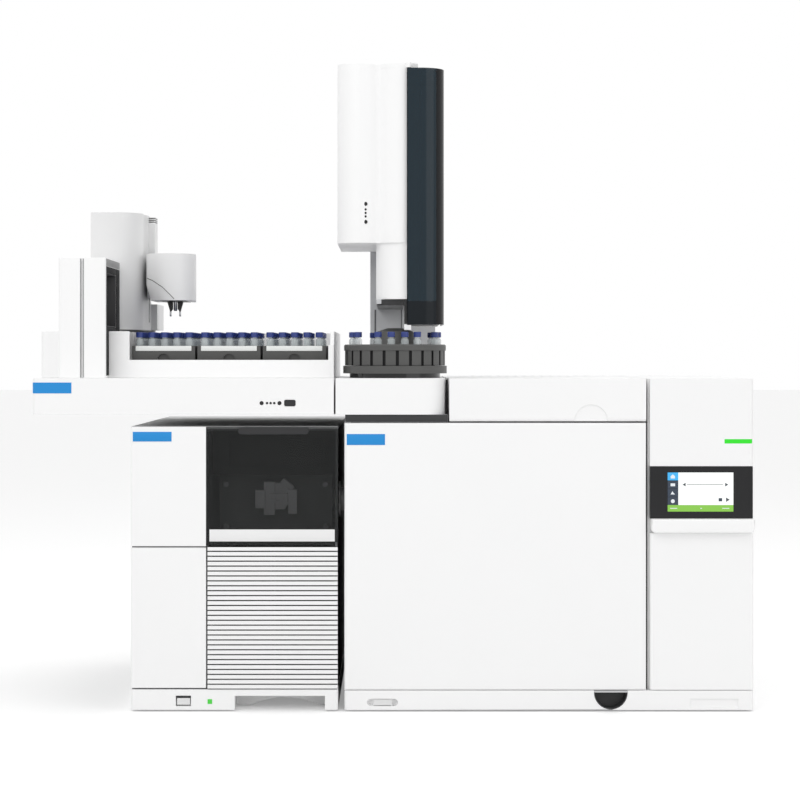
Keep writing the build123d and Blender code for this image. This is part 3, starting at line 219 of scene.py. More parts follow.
def dress(node, material, rounding=0.0):
    """Shows a CAD node as a shell of its own with rounded edges, or as it is with a finish."""
    source = frame["nodes"][node]
    if not rounding:
        source.data.materials.clear()
        source.data.materials.append(material)
        return source
    bm = bmesh.new()
    bm.from_mesh(source.data)
    bmesh.ops.remove_doubles(bm, verts=bm.verts, dist=2e-6)
    bmesh.ops.dissolve_limit(bm, angle_limit=radians(0.6), verts=bm.verts, edges=bm.edges)
    for face in bm.faces:
        face.material_index = 0
    return piece(f"{node}_shell", bm, NODE_BODY[node], material, stands_for=(node,),
                 slot=NODE_SLOT[node], rounding=rounding)


def repaint(made, material, test):
    """Gives a second finish to the faces whose middle, as X, depth and Z, passes a test."""
    made.data.materials.append(material)
    index = len(made.data.materials) - 1
    chosen = [face for face in made.data.polygons
              if test(face.center.x / MM, face.center.y / MM - FRONT, face.center.z / MM)]
    if not chosen:
        raise RuntimeError(f"{made.name} has no such faces")
    for face in chosen:
        face.material_index = index


# ---- Shared shader effects -------------------------------------------------------------------

def new_group(name, inputs, outputs):
    """Empty shader node group with named sockets."""
    group = bpy.data.node_groups.new(name, "ShaderNodeTree")
    for label, kind, value in inputs:
        socket = group.interface.new_socket(name=label, in_out="INPUT", socket_type=kind)
        socket.default_value = value
    for label, kind in outputs:
        group.interface.new_socket(name=label, in_out="OUTPUT", socket_type=kind)
    start = group.nodes.new("NodeGroupInput")
    end = group.nodes.new("NodeGroupOutput")
    return group, start, end


def add(tree, kind, **values):
    """Node with its properties and input defaults set by name."""
    node = tree.nodes.new(kind)
    for key, value in values.items():
        if key in node.inputs.keys():
            node.inputs[key].default_value = value
        else:
            setattr(node, key, value)
    return node


def noise(tree, coordinates, scale, detail=2.0):
    """Noise over the given coordinates."""
    made = add(tree, "ShaderNodeTexNoise", Scale=scale, Detail=detail)
    tree.links.new(coordinates, made.inputs["Vector"])
    return made.outputs["Fac"]


def fit_range(tree, value, low, high):
    """Maps a value of 0 to 1 between two ends."""
    made = add(tree, "ShaderNodeMapRange")
    tree.links.new(value, made.inputs["Value"])
    for socket, end in (("To Min", low), ("To Max", high)):
        if isinstance(end, float):
            made.inputs[socket].default_value = end
        else:
            tree.links.new(end, made.inputs[socket])
    return made.outputs["Result"]


def scaled(tree, factor_value, colour):
    """Colour multiplied by a value."""
    mixer = add(tree, "ShaderNodeMix", data_type="RGBA", blend_type="MULTIPLY")
    mixer.inputs[0].default_value = 1.0
    tree.links.new(colour, mixer.inputs[6])
    tree.links.new(factor_value, mixer.inputs[7])
    return mixer.outputs[2]


def grain_group():
    """Moulded or sprayed skin: fine texture, slight change of tone and of gloss."""
    group, start, end = new_group(
        "moulded skin",
        [("Colour", "NodeSocketColor", (0.8, 0.8, 0.8, 1)), ("Gloss Low", "NodeSocketFloat", 0.35),
         ("Gloss High", "NodeSocketFloat", 0.5), ("Grain Size", "NodeSocketFloat", 900.0),
         ("Grain Depth", "NodeSocketFloat", 0.1), ("Tone", "NodeSocketFloat", 0.97)],
        [("Colour", "NodeSocketColor"), ("Roughness", "NodeSocketFloat"), ("Normal", "NodeSocketVector")])
    where = add(group, "ShaderNodeTexCoord").outputs["Object"]
    tone = noise(group, where, 6.0, 3.0)
    tone = fit_range(group, tone, start.outputs["Tone"], 1.0)
    group.links.new(scaled(group, tone, start.outputs["Colour"]), end.inputs["Colour"])
    patches = noise(group, where, 22.0, 4.0)
    patches = fit_range(group, patches, start.outputs["Gloss Low"], start.outputs["Gloss High"])
    group.links.new(patches, end.inputs["Roughness"])
    grain = add(group, "ShaderNodeTexNoise", Detail=2.0)
    group.links.new(where, grain.inputs["Vector"])
    group.links.new(start.outputs["Grain Size"], grain.inputs["Scale"])
    bump = add(group, "ShaderNodeBump", Distance=0.0002)
    group.links.new(start.outputs["Grain Depth"], bump.inputs["Strength"])
    group.links.new(grain.outputs["Fac"], bump.inputs["Height"])
    group.links.new(bump.outputs["Normal"], end.inputs["Normal"])
    return group


def brushed_group():
    """Brushed or rolled metal: fine lines along X, with a change of gloss across them."""
    group, start, end = new_group(
        "brushed metal",
        [("Colour", "NodeSocketColor", (0.6, 0.6, 0.6, 1)), ("Gloss Low", "NodeSocketFloat", 0.25),
         ("Gloss High", "NodeSocketFloat", 0.42), ("Line Depth", "NodeSocketFloat", 0.15)],
        [("Colour", "NodeSocketColor"), ("Roughness", "NodeSocketFloat"), ("Normal", "NodeSocketVector")])
    where = add(group, "ShaderNodeTexCoord").outputs["Object"]
    stretch = add(group, "ShaderNodeMapping")
    stretch.inputs["Scale"].default_value = (12.0, 700.0, 700.0)
    group.links.new(where, stretch.inputs["Vector"])
    lines = noise(group, stretch.outputs["Vector"], 1.0, 3.0)
    group.links.new(fit_range(group, lines, start.outputs["Gloss Low"], start.outputs["Gloss High"]),
                    end.inputs["Roughness"])
    group.links.new(scaled(group, fit_range(group, lines, 0.86, 1.0), start.outputs["Colour"]),
                    end.inputs["Colour"])
    bump = add(group, "ShaderNodeBump", Distance=0.0001)
    group.links.new(start.outputs["Line Depth"], bump.inputs["Strength"])
    group.links.new(lines, bump.inputs["Height"])
    group.links.new(bump.outputs["Normal"], end.inputs["Normal"])
    return group


def shared(name, build):
    """Shader group by name, built once."""
    return bpy.data.node_groups.get(name) or build()


# ---- Materials -------------------------------------------------------------------------------

def blank_material(name):
    """Material that holds only its principled shader."""
    material = bpy.data.materials.new(name)
    material.use_nodes = True
    tree = material.node_tree
    return material, tree, tree.nodes["Principled BSDF"]


def skin(name, colour, gloss=(0.35, 0.5), grain=(900.0, 0.1), tone=0.97, alpha=1.0, coat=0.0,
         specular=0.5):
    """Moulded plastic or paint."""
    known = bpy.data.materials.get(name)
    if known:
        return known
    material, tree, shader = blank_material(name)
    effect = add(tree, "ShaderNodeGroup", node_tree=shared("moulded skin", grain_group))
    effect.inputs["Colour"].default_value = (*colour, 1)
    effect.inputs["Gloss Low"].default_value = gloss[0]
    effect.inputs["Gloss High"].default_value = gloss[1]
    effect.inputs["Grain Size"].default_value = grain[0]
    effect.inputs["Grain Depth"].default_value = grain[1]
    effect.inputs["Tone"].default_value = tone
    tree.links.new(effect.outputs["Colour"], shader.inputs["Base Color"])
    tree.links.new(effect.outputs["Roughness"], shader.inputs["Roughness"])
    tree.links.new(effect.outputs["Normal"], shader.inputs["Normal"])
    shader.inputs["Alpha"].default_value = alpha
    shader.inputs["Coat Weight"].default_value = coat
    shader.inputs["Specular IOR Level"].default_value = specular
    return material


def metal(name, colour, gloss=(0.22, 0.4), line_depth=0.12):
    """Brushed, rolled or machined metal."""
    known = bpy.data.materials.get(name)
    if known:
        return known
    material, tree, shader = blank_material(name)
    effect = add(tree, "ShaderNodeGroup", node_tree=shared("brushed metal", brushed_group))
    effect.inputs["Colour"].default_value = (*colour, 1)
    effect.inputs["Gloss Low"].default_value = gloss[0]
    effect.inputs["Gloss High"].default_value = gloss[1]
    effect.inputs["Line Depth"].default_value = line_depth
    tree.links.new(effect.outputs["Colour"], shader.inputs["Base Color"])
    tree.links.new(effect.outputs["Roughness"], shader.inputs["Roughness"])
    tree.links.new(effect.outputs["Normal"], shader.inputs["Normal"])
    shader.inputs["Metallic"].default_value = 1.0
    return material


def glass(name, tint=(0.82, 0.88, 0.89), clearness=0.34):
    """Clear glass of the vials and the syringe, thin enough to see straight through."""
    known = bpy.data.materials.get(name)
    if known:
        return known
    material, tree, shader = blank_material(name)
    effect = add(tree, "ShaderNodeGroup", node_tree=shared("moulded skin", grain_group))
    effect.inputs["Colour"].default_value = (*tint, 1)
    effect.inputs["Gloss Low"].default_value = 0.03
    effect.inputs["Gloss High"].default_value = 0.08
    effect.inputs["Grain Size"].default_value = 60.0
    effect.inputs["Grain Depth"].default_value = 0.03
    effect.inputs["Tone"].default_value = 0.92
    tree.links.new(effect.outputs["Colour"], shader.inputs["Base Color"])
    tree.links.new(effect.outputs["Roughness"], shader.inputs["Roughness"])
    tree.links.new(effect.outputs["Normal"], shader.inputs["Normal"])
    shader.inputs["Alpha"].default_value = clearness
    shader.inputs["IOR"].default_value = 1.47
    return material


def lit(name, colour, strength=0.6):
    """Lamp or screen field that glows a little; its colour shifts softly across it."""
    known = bpy.data.materials.get(name)
    if known:
        return known
    material, tree, shader = blank_material(name)
    effect = add(tree, "ShaderNodeGroup", node_tree=shared("moulded skin", grain_group))
    effect.inputs["Colour"].default_value = (*colour, 1)
    effect.inputs["Gloss Low"].default_value = 0.12
    effect.inputs["Gloss High"].default_value = 0.2
    effect.inputs["Grain Depth"].default_value = 0.02
    effect.inputs["Tone"].default_value = 0.95
    shader.inputs["Base Color"].default_value = (*(0.4 * c for c in colour), 1)
    tree.links.new(effect.outputs["Roughness"], shader.inputs["Roughness"])
    tree.links.new(effect.outputs["Colour"], shader.inputs["Emission Color"])
    shader.inputs["Emission Strength"].default_value = strength
    return material


def white_panel():
    """Satin white of the moulded covers and doors."""
    return skin("satin white moulding", shade(250, 250, 250), gloss=(0.38, 0.5), tone=0.985)


def white_paint():
    """Powder coat of the sheet-metal covers."""
    return skin("white powder coat", shade(249, 249, 249), gloss=(0.42, 0.58), grain=(1400.0, 0.2),
                tone=0.98)


def arm_grey():
    """Pale grey moulding of the arm and the tower post."""
    return skin("pale grey moulding", shade(245, 245, 245), gloss=(0.3, 0.42), tone=0.98)


def rack_grey():
    """Dark grey nylon of the racks and the turret."""
    return skin("dark grey nylon", shade(81, 81, 80), gloss=(0.4, 0.55), grain=(700.0, 0.25), tone=0.9)


def black_moulding():
    """Black moulded plastic."""
    return skin("black moulding", shade(38, 38, 40), gloss=(0.25, 0.4), tone=0.88)


def matt_black():
    """Dull black of the reader's frame, also used as painted shade in slots, gaps and grooves."""
    return skin("matt black", shade(40, 40, 41), gloss=(0.6, 0.75), tone=0.9, specular=0.15)


def gloss_black():
    """Polished black of the turret's foot and the screen's edge."""
    return skin("polished black", shade(24, 24, 26), gloss=(0.06, 0.14), grain=(500.0, 0.02), tone=0.9)


def blue_field():
    """Printed blue of the bare badges."""
    return skin("printed blue", shade(20, 142, 216), gloss=(0.3, 0.4), grain=(600.0, 0.03), tone=0.97)


# ---- Settings --------------------------------------------------------------------------------

class CabinetSettings(bpy.types.PropertyGroup):
    """Covers of the two cabinets."""
    edge: bpy.props.FloatProperty(
        name="Edge rounding", description="Radius of the covers' small edges, in millimetres",
        default=0.7, min=0.0, max=2.0)
    badge: bpy.props.FloatProperty(
        name="Badge thickness", description="Thickness of the blue badges, in millimetres",
        default=0.4, min=0.1, max=1.0)


class VialSettings(bpy.types.PropertyGroup):
    """Sample vials in the racks and the turret."""
    segments: bpy.props.IntProperty(
        name="Sides", description="Facets round each vial", default=14, min=8, max=32)
    cap_colour: bpy.props.FloatVectorProperty(
        name="Cap colour", description="Colour of the vial caps", subtype="COLOR", size=3,
        default=shade(50, 66, 132), min=0.0, max=1.0)


class StageSettings(bpy.types.PropertyGroup):
    """Camera, lamps and floor."""
    lens: bpy.props.FloatProperty(
        name="Lens", description="Focal length on a 36 mm sensor, in millimetres", default=98.4,
        min=20.0, max=200.0)
    distance: bpy.props.FloatProperty(
        name="Distance", description="Camera's distance from the cabinet fronts", default=3.1,
        min=1.0, max=10.0, unit="LENGTH")
    height: bpy.props.FloatProperty(
        name="Height", description="Camera's height over the bench", default=0.5027, min=0.0, max=2.0,
        unit="LENGTH")
    sky: bpy.props.FloatProperty(
        name="Room light", description="Strength of the even light of the room", default=0.75,
        min=0.0, max=2.0)


# ---- Operators -------------------------------------------------------------------------------

class INSTRUMENT_OT_cabinets(bpy.types.Operator):
    """Dress the covers, doors and bases of both cabinets"""
    bl_idname = "instrument.cabinets"
    bl_label = "Cabinets"

    def execute(self, context):
        edge = context.scene.instrument_cabinets.edge
        for node in ("gc_base", "gc_lower_panel", "gc_lid", "oven_door", "display_lip", "msd_base",
                     "msd_upper_panel", "msd_lower_panel"):
            dress(node, white_panel(), edge)
        for node in ("gc_rear_top", "gc_side_box", "tray_bracket"):
            dress(node, white_paint(), edge)
        # The top cover's grey is partly its own and partly painted shade under the tray.
        shaded_grey_coat = skin("grey top coat with painted shade", shade(176, 177, 178), gloss=(0.3, 0.42), grain=(1400.0, 0.2))
        dress("msd_top", shaded_grey_coat, edge)
        grille = dress("msd_grille", skin("grille white", shade(249, 249, 249), tone=0.98), 0.4)
        # The slats' faces deeper than 3.9 mm are painted black as shade inside the slots.
        repaint(grille, matt_black(), lambda x, depth, z: depth > 3.9)
        dress("feet", skin("foot rubber", shade(30, 30, 31), gloss=(0.6, 0.8), grain=(500.0, 0.4)), 0.4)
        steel = metal("zinc-plated sheet", shade(176, 178, 182), gloss=(0.35, 0.5))
        dress("gc_chassis", steel)
        dress("msd_chassis", skin("dark cabinet inside", shade(88, 89, 90), gloss=(0.4, 0.55)))
        button = skin("button white", shade(232, 232, 232), gloss=(0.25, 0.35))
        dress("gc_power_button", button, 0.5)
        dress("msd_power_button", button, 0.5)
        dress("door_latch", skin("latch grey", shade(200, 201, 202)), 0.4)
        dress("foreline_port", metal("brass nozzle", shade(196, 160, 96)), 0.4)
        dress("transfer_line", skin("grey heat sleeve", shade(232, 232, 233), gloss=(0.3, 0.45)), 0.5)
        self.shade_recess()
        self.line_switch()
        self.grille_slot_shade()
        self.header()
        self.gap_shades()
        return {"FINISHED"}

    def shade_recess(self):
        """Dark shell inside the finger recess under the oven door's latch, painted shade."""
        radius, centre_x, top = 23.6, 308.9, 26.6
        bm = bmesh.new()
        outer = [(x, z) for x, z in arc((centre_x, top), radius, 180, 360, 28)]
        inner = [(x, z) for x, z in arc((centre_x, top), radius - 1.2, 360, 180, 28)]
        plate(bm, outer + inner, (1.0, 23.6))
        plate(bm, arc((centre_x, top), radius - 0.4, 180, 360, 28), (22.4, 23.6))
        piece("recess_shade", bm, "frame", skin("recess painted shade", shade(56, 56, 57), gloss=(0.4, 0.5)))

    def grille_slot_shade(self):
        """Black sheet behind the grille's slats, painted shade in the slots."""
        (x0, x1), _, (z0, z1) = box_mm("msd_grille")
        bm = bmesh.new()
        slab(bm, (x0 + 5.4, -173.6), (5.3, 6.0), (z0 + 0.5, z1 - 0.5), 0.1)
        slab(bm, (-167.4, x1 - 5.4), (5.3, 6.0), (z0 + 0.5, z1 - 0.5), 0.1)
        piece("grille_slot_shade", bm, "frame", matt_black())

    def header(self):
        """Dark strip over the oven door, painted shade in the recess under the injector's cover."""
        bm = bmesh.new()
        slab(bm, (-67.8, 77.8), (2.4, 3.2), (410.7, 420.8), 0.2)
        piece("door_header_shade", bm, "frame", skin("header painted shade", shade(46, 47, 48), gloss=(0.4, 0.5)))

    def gap_shades(self):
        """Black strips deep in the joints beside the oven door and the lid, painted shade in the gaps."""
        bm = bmesh.new()
        slab(bm, (359.9, 361.8), (13.0, 16.0), (31.0, 407.6), 0.4)
        slab(bm, (75.4, 78.6), (30.0, 34.0), (411.5, 470.8), 0.4)
        piece("door_gap_shade", bm, "frame", matt_black())

    def line_switch(self):
        """Black band over the mass spectrometer's power button."""
        bm = bmesh.new()
        slab(bm, (-307.8, -286.8), (1.3, 6), (19.4, 22.1), 0.3)
        piece("switch_band", bm, "frame", black_moulding())


class INSTRUMENT_OT_badges(bpy.types.Operator):
    """Add the bare blue badges and the small lamps"""
    bl_idname = "instrument.badges"
    bl_label = "Badges and lamps"

    def execute(self, context):
        thick = context.scene.instrument_cabinets.badge
        fields = {"door_badge": ("oven_door", (-65.6, -11.3), (377.9, 393.5)),
                  "spectrometer_badge": ("frame", (-368.9, -313.9), (382.9, 396.6))}
        for name, (body, x, z) in fields.items():
            bm = bmesh.new()
            slab(bm, x, (-thick, 0.2), z, 0.12)
            piece(name, bm, body, blue_field())
        self.tray_badge(thick)
        self.lamps()
        return {"FINISHED"}

    def tray_badge(self, thick):
        """Badge that wraps the tray's round left corner."""
        low, high, corner, left = 451.1, 466.5, 6.0, -511.5
        centre = (left + corner, corner)
        outer = arc(centre, corner + thick * 0.6, 190, 270, 8) + [(-455.9, -thick * 0.6)]
        inner = [(-455.9, 0.3)] + arc(centre, corner - 0.3, 270, 190, 8)
        bm = bmesh.new()
        plan_plate(bm, outer + inner, (low, high))
        piece("tray_badge", bm, "frame", blue_field())

    def lamps(self):
        """Green light bar, green status lamp and the tray's dark lamps."""
        green = lit("green lamp", shade(46, 212, 40), 0.8)
        x_low, x_high, z_low, z_high = 470.0, 511.5, 380.0, 386.3
        corner = 6.0
        centre = (x_high - corner, corner)
        outer = [(x_low, 0.05)] + arc(centre, corner - 0.05, 270, 360, 10)
        inner = [(x_high - 2, corner)] + arc(centre, corner - 1.5, 360, 270, 10) + [(x_low, 1.5)]
        bm = bmesh.new()
        plan_plate(bm, outer + inner, (z_low, z_high))
        piece("light_bar", bm, "frame", green, stands_for=("indicator_lamps",), slot="lamp_green")
        bm = bmesh.new()
        slab(bm, (-262.9, -256.5), (0.3, 1.2), (10.8, 17.4), 0.25)
        piece("status_lamp", bm, "frame", lit("status lamp", shade(72, 200, 66), 0.7))
        bm = bmesh.new()
        for x, radius in ((-186.3, 3.0), (-178.6, 1.8), (-173.5, 1.8), (-168.3, 1.8), (-160.9, 3.0)):
            lathe(bm, [(0, -0.6), (radius * 0.7, -0.5), (radius, -0.1), (radius, 0.4), (0, 0.4)],
                  (x, 0, 437.3), "Y", 20)
        piece("tray_lamps", bm, "frame", gloss_black())
        bm = bmesh.new()
        for z, radius in ((722.8, 3.0), (714.9, 1.8), (709.8, 1.8), (704.7, 1.8), (696.9, 3.0)):
            lathe(bm, [(0, -0.6), (radius * 0.7, -0.5), (radius, -0.1), (radius, 1.4), (0, 1.4)],
                  (-39.6, 42.7, z), "Y", 20)
        piece("tower_lamps", bm, "frame", gloss_black())


class INSTRUMENT_OT_display(bpy.types.Operator):
    """Build the display with its menu, fields and arrows"""
    bl_idname = "instrument.display"
    bl_label = "Display"

    def execute(self, context):
        dress("display_bezel", gloss_black(), 0.6)
        dress("park_button", black_moulding(), 0.4)
        dress("touchscreen", gloss_black())
        (x0, x1), (depth, _), (z0, z1) = box_mm("touchscreen")
        colours = {"menu": (52, 62, 76), "chosen": (66, 168, 226), "paper": (240, 243, 241),
                   "bar": (128, 186, 72), "mark": (70, 74, 80), "pale": (214, 219, 223)}
        names = list(colours)
        materials = [lit(f"screen {name}", shade(*colours[name]), 0.86) for name in names]
        menu_x, bar_z = 404.6, 292.8
        item = (z1 - bar_z) / 4
        bm = bmesh.new()

        def field(x, z, name, lift=0.0):
            slab(bm, x, (depth - 0.25 - lift, depth - 0.02), z, material=names.index(name))

        field((menu_x, x1 - 0.4), (bar_z, z1 - 0.4), "paper")
        field((x0 + 0.4, x1 - 0.4), (z0 + 0.4, bar_z), "bar")
        for row in range(4):
            top = z1 - 0.4 - row * item
            field((x0 + 0.4, menu_x), (top - item + 0.5, top), "chosen" if row == 0 else "menu")
            middle, mid_x = top - item / 2, (x0 + menu_x) / 2
            plate(bm, self.symbol(row, mid_x, middle), (depth - 0.4, depth - 0.2),
                  names.index("pale"))
        line_z = 321.7
        field((417.0, 468.0), (line_z - 0.35, line_z + 0.35), "mark", 0.1)
        for tip, tail in ((410.5, 415.0), (475.5, 471.0)):
            plate(bm, [(tip, line_z), (tail, line_z + 2.6), (tail, line_z - 2.6)],
                  (depth - 0.4, depth - 0.2), names.index("mark"))
        plate(bm, [(472.3, 303.4), (472.3, 297.2), (477.6, 300.3)], (depth - 0.4, depth - 0.2),
              names.index("mark"))
        field((461.8, 466.8), (298.0, 302.6), "menu", 0.1)
        for x, half in ((398.0, 5.0), (437.0, 1.2), (472.0, 5.0)):
            field((x - half, x + half), (287.6, 288.6), "pale", 0.1)
        piece("screen_picture", bm, "frame", *materials)
        return {"FINISHED"}

    def symbol(self, row, x, z):
        """Plain menu symbols: house, list, drop and wheel."""
        if row == 0:
            return [(x - 3, z - 2.6), (x + 3, z - 2.6), (x + 3, z + 0.6), (x, z + 3.2), (x - 3, z + 0.6)]
        if row == 1:
            return [(x - 3.2, z - 2), (x + 3.2, z - 2), (x + 3.2, z + 2), (x - 3.2, z + 2)]
        if row == 2:
            return [(x - 3.2, z - 2), (x + 3.2, z - 2), (x + 1, z), (x - 0.4, z + 2.6)]
        return arc((x, z), 2.8, 0, 330, 11)


class INSTRUMENT_OT_spectrometer(bpy.types.Operator):
    """Build the smoked window cover and dress the analyser behind it"""
    bl_idname = "instrument.spectrometer"
    bl_label = "Spectrometer"

    def execute(self, context):
        casting = skin("cast manifold", shade(116, 117, 118), gloss=(0.4, 0.55), grain=(500.0, 0.3))
        dress("manifold", casting, 1.0)
        dress("ion_source", metal("source steel", shade(206, 206, 208), gloss=(0.25, 0.4)), 0.5)
        dress("turbo_pump", metal("pump aluminium", shade(190, 191, 194)), 0.8)
        self.bay_shade()
        self.window()
        return {"FINISHED"}

    def bay_shade(self):
        """Dark sheets of painted shade in the upper analyser bay, and the fastenings of the side plate."""
        bm = bmesh.new()
        slab(bm, (-261.6, -82.4), (54.0, 55.0), (333.0, 397.2), 0.3)
        slab(bm, (-236.0, -104.0), (53.0, 54.2), (345.0, 386.0), 0.5)
        piece("bay_shade", bm, "frame", skin("bay painted shade", shade(44, 45, 45), gloss=(0.45, 0.6)))
        bm = bmesh.new()
        for x in (-242.0, -98.0):
            for z in (257.0, 318.0):
                lathe(bm, [(0, 72.6), (3.6, 72.6), (4.4, 73.4), (4.4, 75.2), (0, 75.2)], (x, 0, z), "Y", 12)
        piece("side_plate_screws", bm, "frame", metal("screw steel", shade(180, 181, 184)))

    def window(self):
        """Smoked sheet with its finger tab, its pins and the bare white strip."""
        smoke = skin("smoked acrylic", shade(22, 24, 24), gloss=(0.05, 0.1), grain=(200.0, 0.01),
                     tone=0.95, alpha=0.46)
        (x0, x1), (d0, _), (_, z1) = box_mm("window_cover")
        pin_x, sheet_x = x0, x0 + 2.1
        bm = bmesh.new()
        outline = [(sheet_x, 235.0), (-82.7, 235.0), (-82.7, 240.6), (x1 - 0.1, 240.6), (x1 - 0.1, z1),
                   (sheet_x, z1)]
        plate(bm, outline, (d0, 3.8))
        lathe(bm, [(0, 0), (1.1, 0), (1.2, 0.2), (1.2, 4.5), (0, 4.5)], (pin_x, 2.0, 236.6), "X", 16)
        lathe(bm, [(0, 0), (1.2, 0), (1.2, 3.3), (1.0, 3.5), (0, 3.5)], (-83.0, 2.0, 236.6), "X", 16)
        piece("window_sheet", bm, "window_cover", smoke, stands_for=("window_cover",),
              slot="smoked_plastic", rounding=0.4)
        bm = bmesh.new()
        tab = ([(-119.6, z1 - 0.4), (-219.0, z1 - 0.4)] + arc((-215.0, 397.0), 4, 180, 270, 6)
               + arc((-123.6, 397.0), 4, 270, 360, 6))
        plate(bm, tab, (-0.6, 0.1))
        piece("window_tab", bm, "window_cover", black_moulding(), rounding=0.3)
        bm = bmesh.new()
        slab(bm, (-260.2, -82.6), (-0.3, 0.1), (241.2, 258.2), 0.1)
        piece("window_strip", bm, "window_cover",
              skin("printed white", shade(240, 240, 240), gloss=(0.3, 0.4)))


class INSTRUMENT_OT_oven(bpy.types.Operator):
    """Dress the oven's inside, its fan, coil and inlets"""
    bl_idname = "instrument.oven"
    bl_label = "Oven"

    def execute(self, context):
        steel = metal("oven liner steel", shade(186, 187, 190))
        for node in ("oven_liner", "oven_shroud", "oven_fan"):
            dress(node, steel)
        dress("oven_door_plug", metal("door plug steel", shade(180, 182, 186)), 1.0)
        dress("heater_coil", metal("heater element", shade(96, 92, 90), gloss=(0.4, 0.6)))
        dress("inlets", metal("inlet steel", shade(200, 200, 202)), 0.5)
        dress("detector", metal("detector aluminium", shade(196, 197, 200)), 0.6)
        self.column()
        return {"FINISHED"}

    def column(self):
        """Capillary column wound on its wire cage."""
        turns, radius, tube = 22, 88.0, 0.62
        centre_x, centre_z, depth = 145.0, 223.0, 120.0
        bm = bmesh.new()
        steps, sides = 96, 6
        rings = []
        for i in range(turns * steps + 1):
            angle = 2 * pi * i / steps
            along = depth - 14 + 28.0 * i / (turns * steps)
            ring = []
            for k in range(sides):
                around = 2 * pi * k / sides
                r = radius + tube * cos(around)
                ring.append(bm.verts.new(place(centre_x + r * cos(angle), along + tube * sin(around),
                                               centre_z + r * sin(angle))))
            rings.append(ring)
        close_rings(bm, rings)
        piece("capillary_column", bm, "frame",
              skin("polyimide coating", shade(150, 104, 52), gloss=(0.15, 0.25)),
              stands_for=("column_coil",), slot="fused_silica")
        bm = bmesh.new()
        wire = 1.6
        for d in (depth - 15, depth + 15):
            slab(bm, (centre_x - wire, centre_x + wire), (d - wire, d + wire), (131, 383), 0.8)
            slab(bm, (53, 237), (d - wire, d + wire), (centre_z - wire, centre_z + wire), 0.8)
            for r in (84.6,):
                outer = arc((centre_x, centre_z), r + wire, 0, 360, 48)[:-1]
                inner = arc((centre_x, centre_z), r - wire, 0, 360, 48)[:-1]
                self.hoop(bm, outer, inner, (d - wire, d + wire))
        piece("column_cage", bm, "frame", metal("cage wire", shade(200, 200, 202)))

    def hoop(self, bm, outer, inner, depth):
        """Flat hoop between two round outlines."""
        rows = [[bm.verts.new(place(x, d, z)) for x, z in outline]
                for outline, d in ((outer, depth[0]), (outer, depth[1]), (inner, depth[1]),
                                   (inner, depth[0]))]
        count = len(outer)
        for a, b in zip(rows, rows[1:] + rows[:1]):
            for i in range(count):
                j = (i + 1) % count
                bm.faces.new((a[i], a[j], b[j], b[i]))


class INSTRUMENT_OT_tray(bpy.types.Operator):
    """Dress the tray, the sample reader and the racks"""
    bl_idname = "instrument.tray"
    bl_label = "Tray"

    def execute(self, context):
        for node in ("tray_base", "tray_frame", "sample_reader"):
            dress(node, white_panel(), 0.7)
        dress("vial_racks", rack_grey())
        self.rack_labels()
        self.reader_lining()
        return {"FINISHED"}

    def rack_labels(self):
        """Bare white strip along the front of each rack."""
        bm = bmesh.new()
        depth = box_mm("vial_racks")[1][0]
        for x in (-333.3, -238.3, -143.3):
            slab(bm, (x - 40.5, x + 40.5), (depth - 0.5, depth + 0.1), (511.6, 518.8), 0.15)
        piece("rack_strips", bm, "frame", skin("rack strip", shade(236, 238, 236)))

    def reader_lining(self):
        """Dark ribbed lining of the reader's vial bay."""
        bm = bmesh.new()
        slab(bm, (-459.6, -457.8), (42.4, 143.6), (546.4, 623.6), 0.3)
        slab(bm, (-457.8, -411.4), (142.2, 143.6), (546.4, 623.6), 0.3)
        slab(bm, (-457.8, -411.4), (42.4, 142.2), (622.2, 623.6), 0.3)
        slab(bm, (-457.8, -411.4), (42.4, 142.2), (546.4, 547.8), 0.3)
        ribs = 14
        for i in range(ribs):
            z = 551.0 + 70.0 * i / (ribs - 1)
            slab(bm, (-457.8, -455.2), (44, 142), (z - 1.2, z + 1.2), 0.4)
        piece("reader_lining", bm, "frame",
              skin("reader lining", shade(74, 74, 75), gloss=(0.5, 0.6), specular=0.2))
        bm = bmesh.new()
        face = (-411.2, -410.8)
        bay_depth, bay_z = (42.0, 144.0), (546.0, 624.0)
        slab(bm, face, (33.5, bay_depth[0] + 0.2), (476, 633), 0.1)
        slab(bm, face, (bay_depth[1] - 0.2, 185.5), (476, 633), 0.1)
        slab(bm, face, bay_depth, (bay_z[1] - 0.2, 633), 0.1)
        slab(bm, face, bay_depth, (476, bay_z[0] + 0.2), 0.1)
        piece("reader_frame", bm, "frame", matt_black())
        bm = bmesh.new()
        slab(bm, face, (33.5, 185.5), (633.6, 644), 0.1)
        piece("reader_vent", bm, "frame",
              skin("vent felt", shade(150, 150, 150), grain=(300.0, 1.0), tone=0.7))
        # Grey strips along the groove's edges paint its shade.
        bm = bmesh.new()
        for x in (-447.6, -443.4):
            slab(bm, (x, x + 0.6), (30.2, 32.9), (474, 643.5), 0.1)
        piece("reader_groove_shade", bm, "frame", skin("groove painted shade", shade(150, 151, 152)))


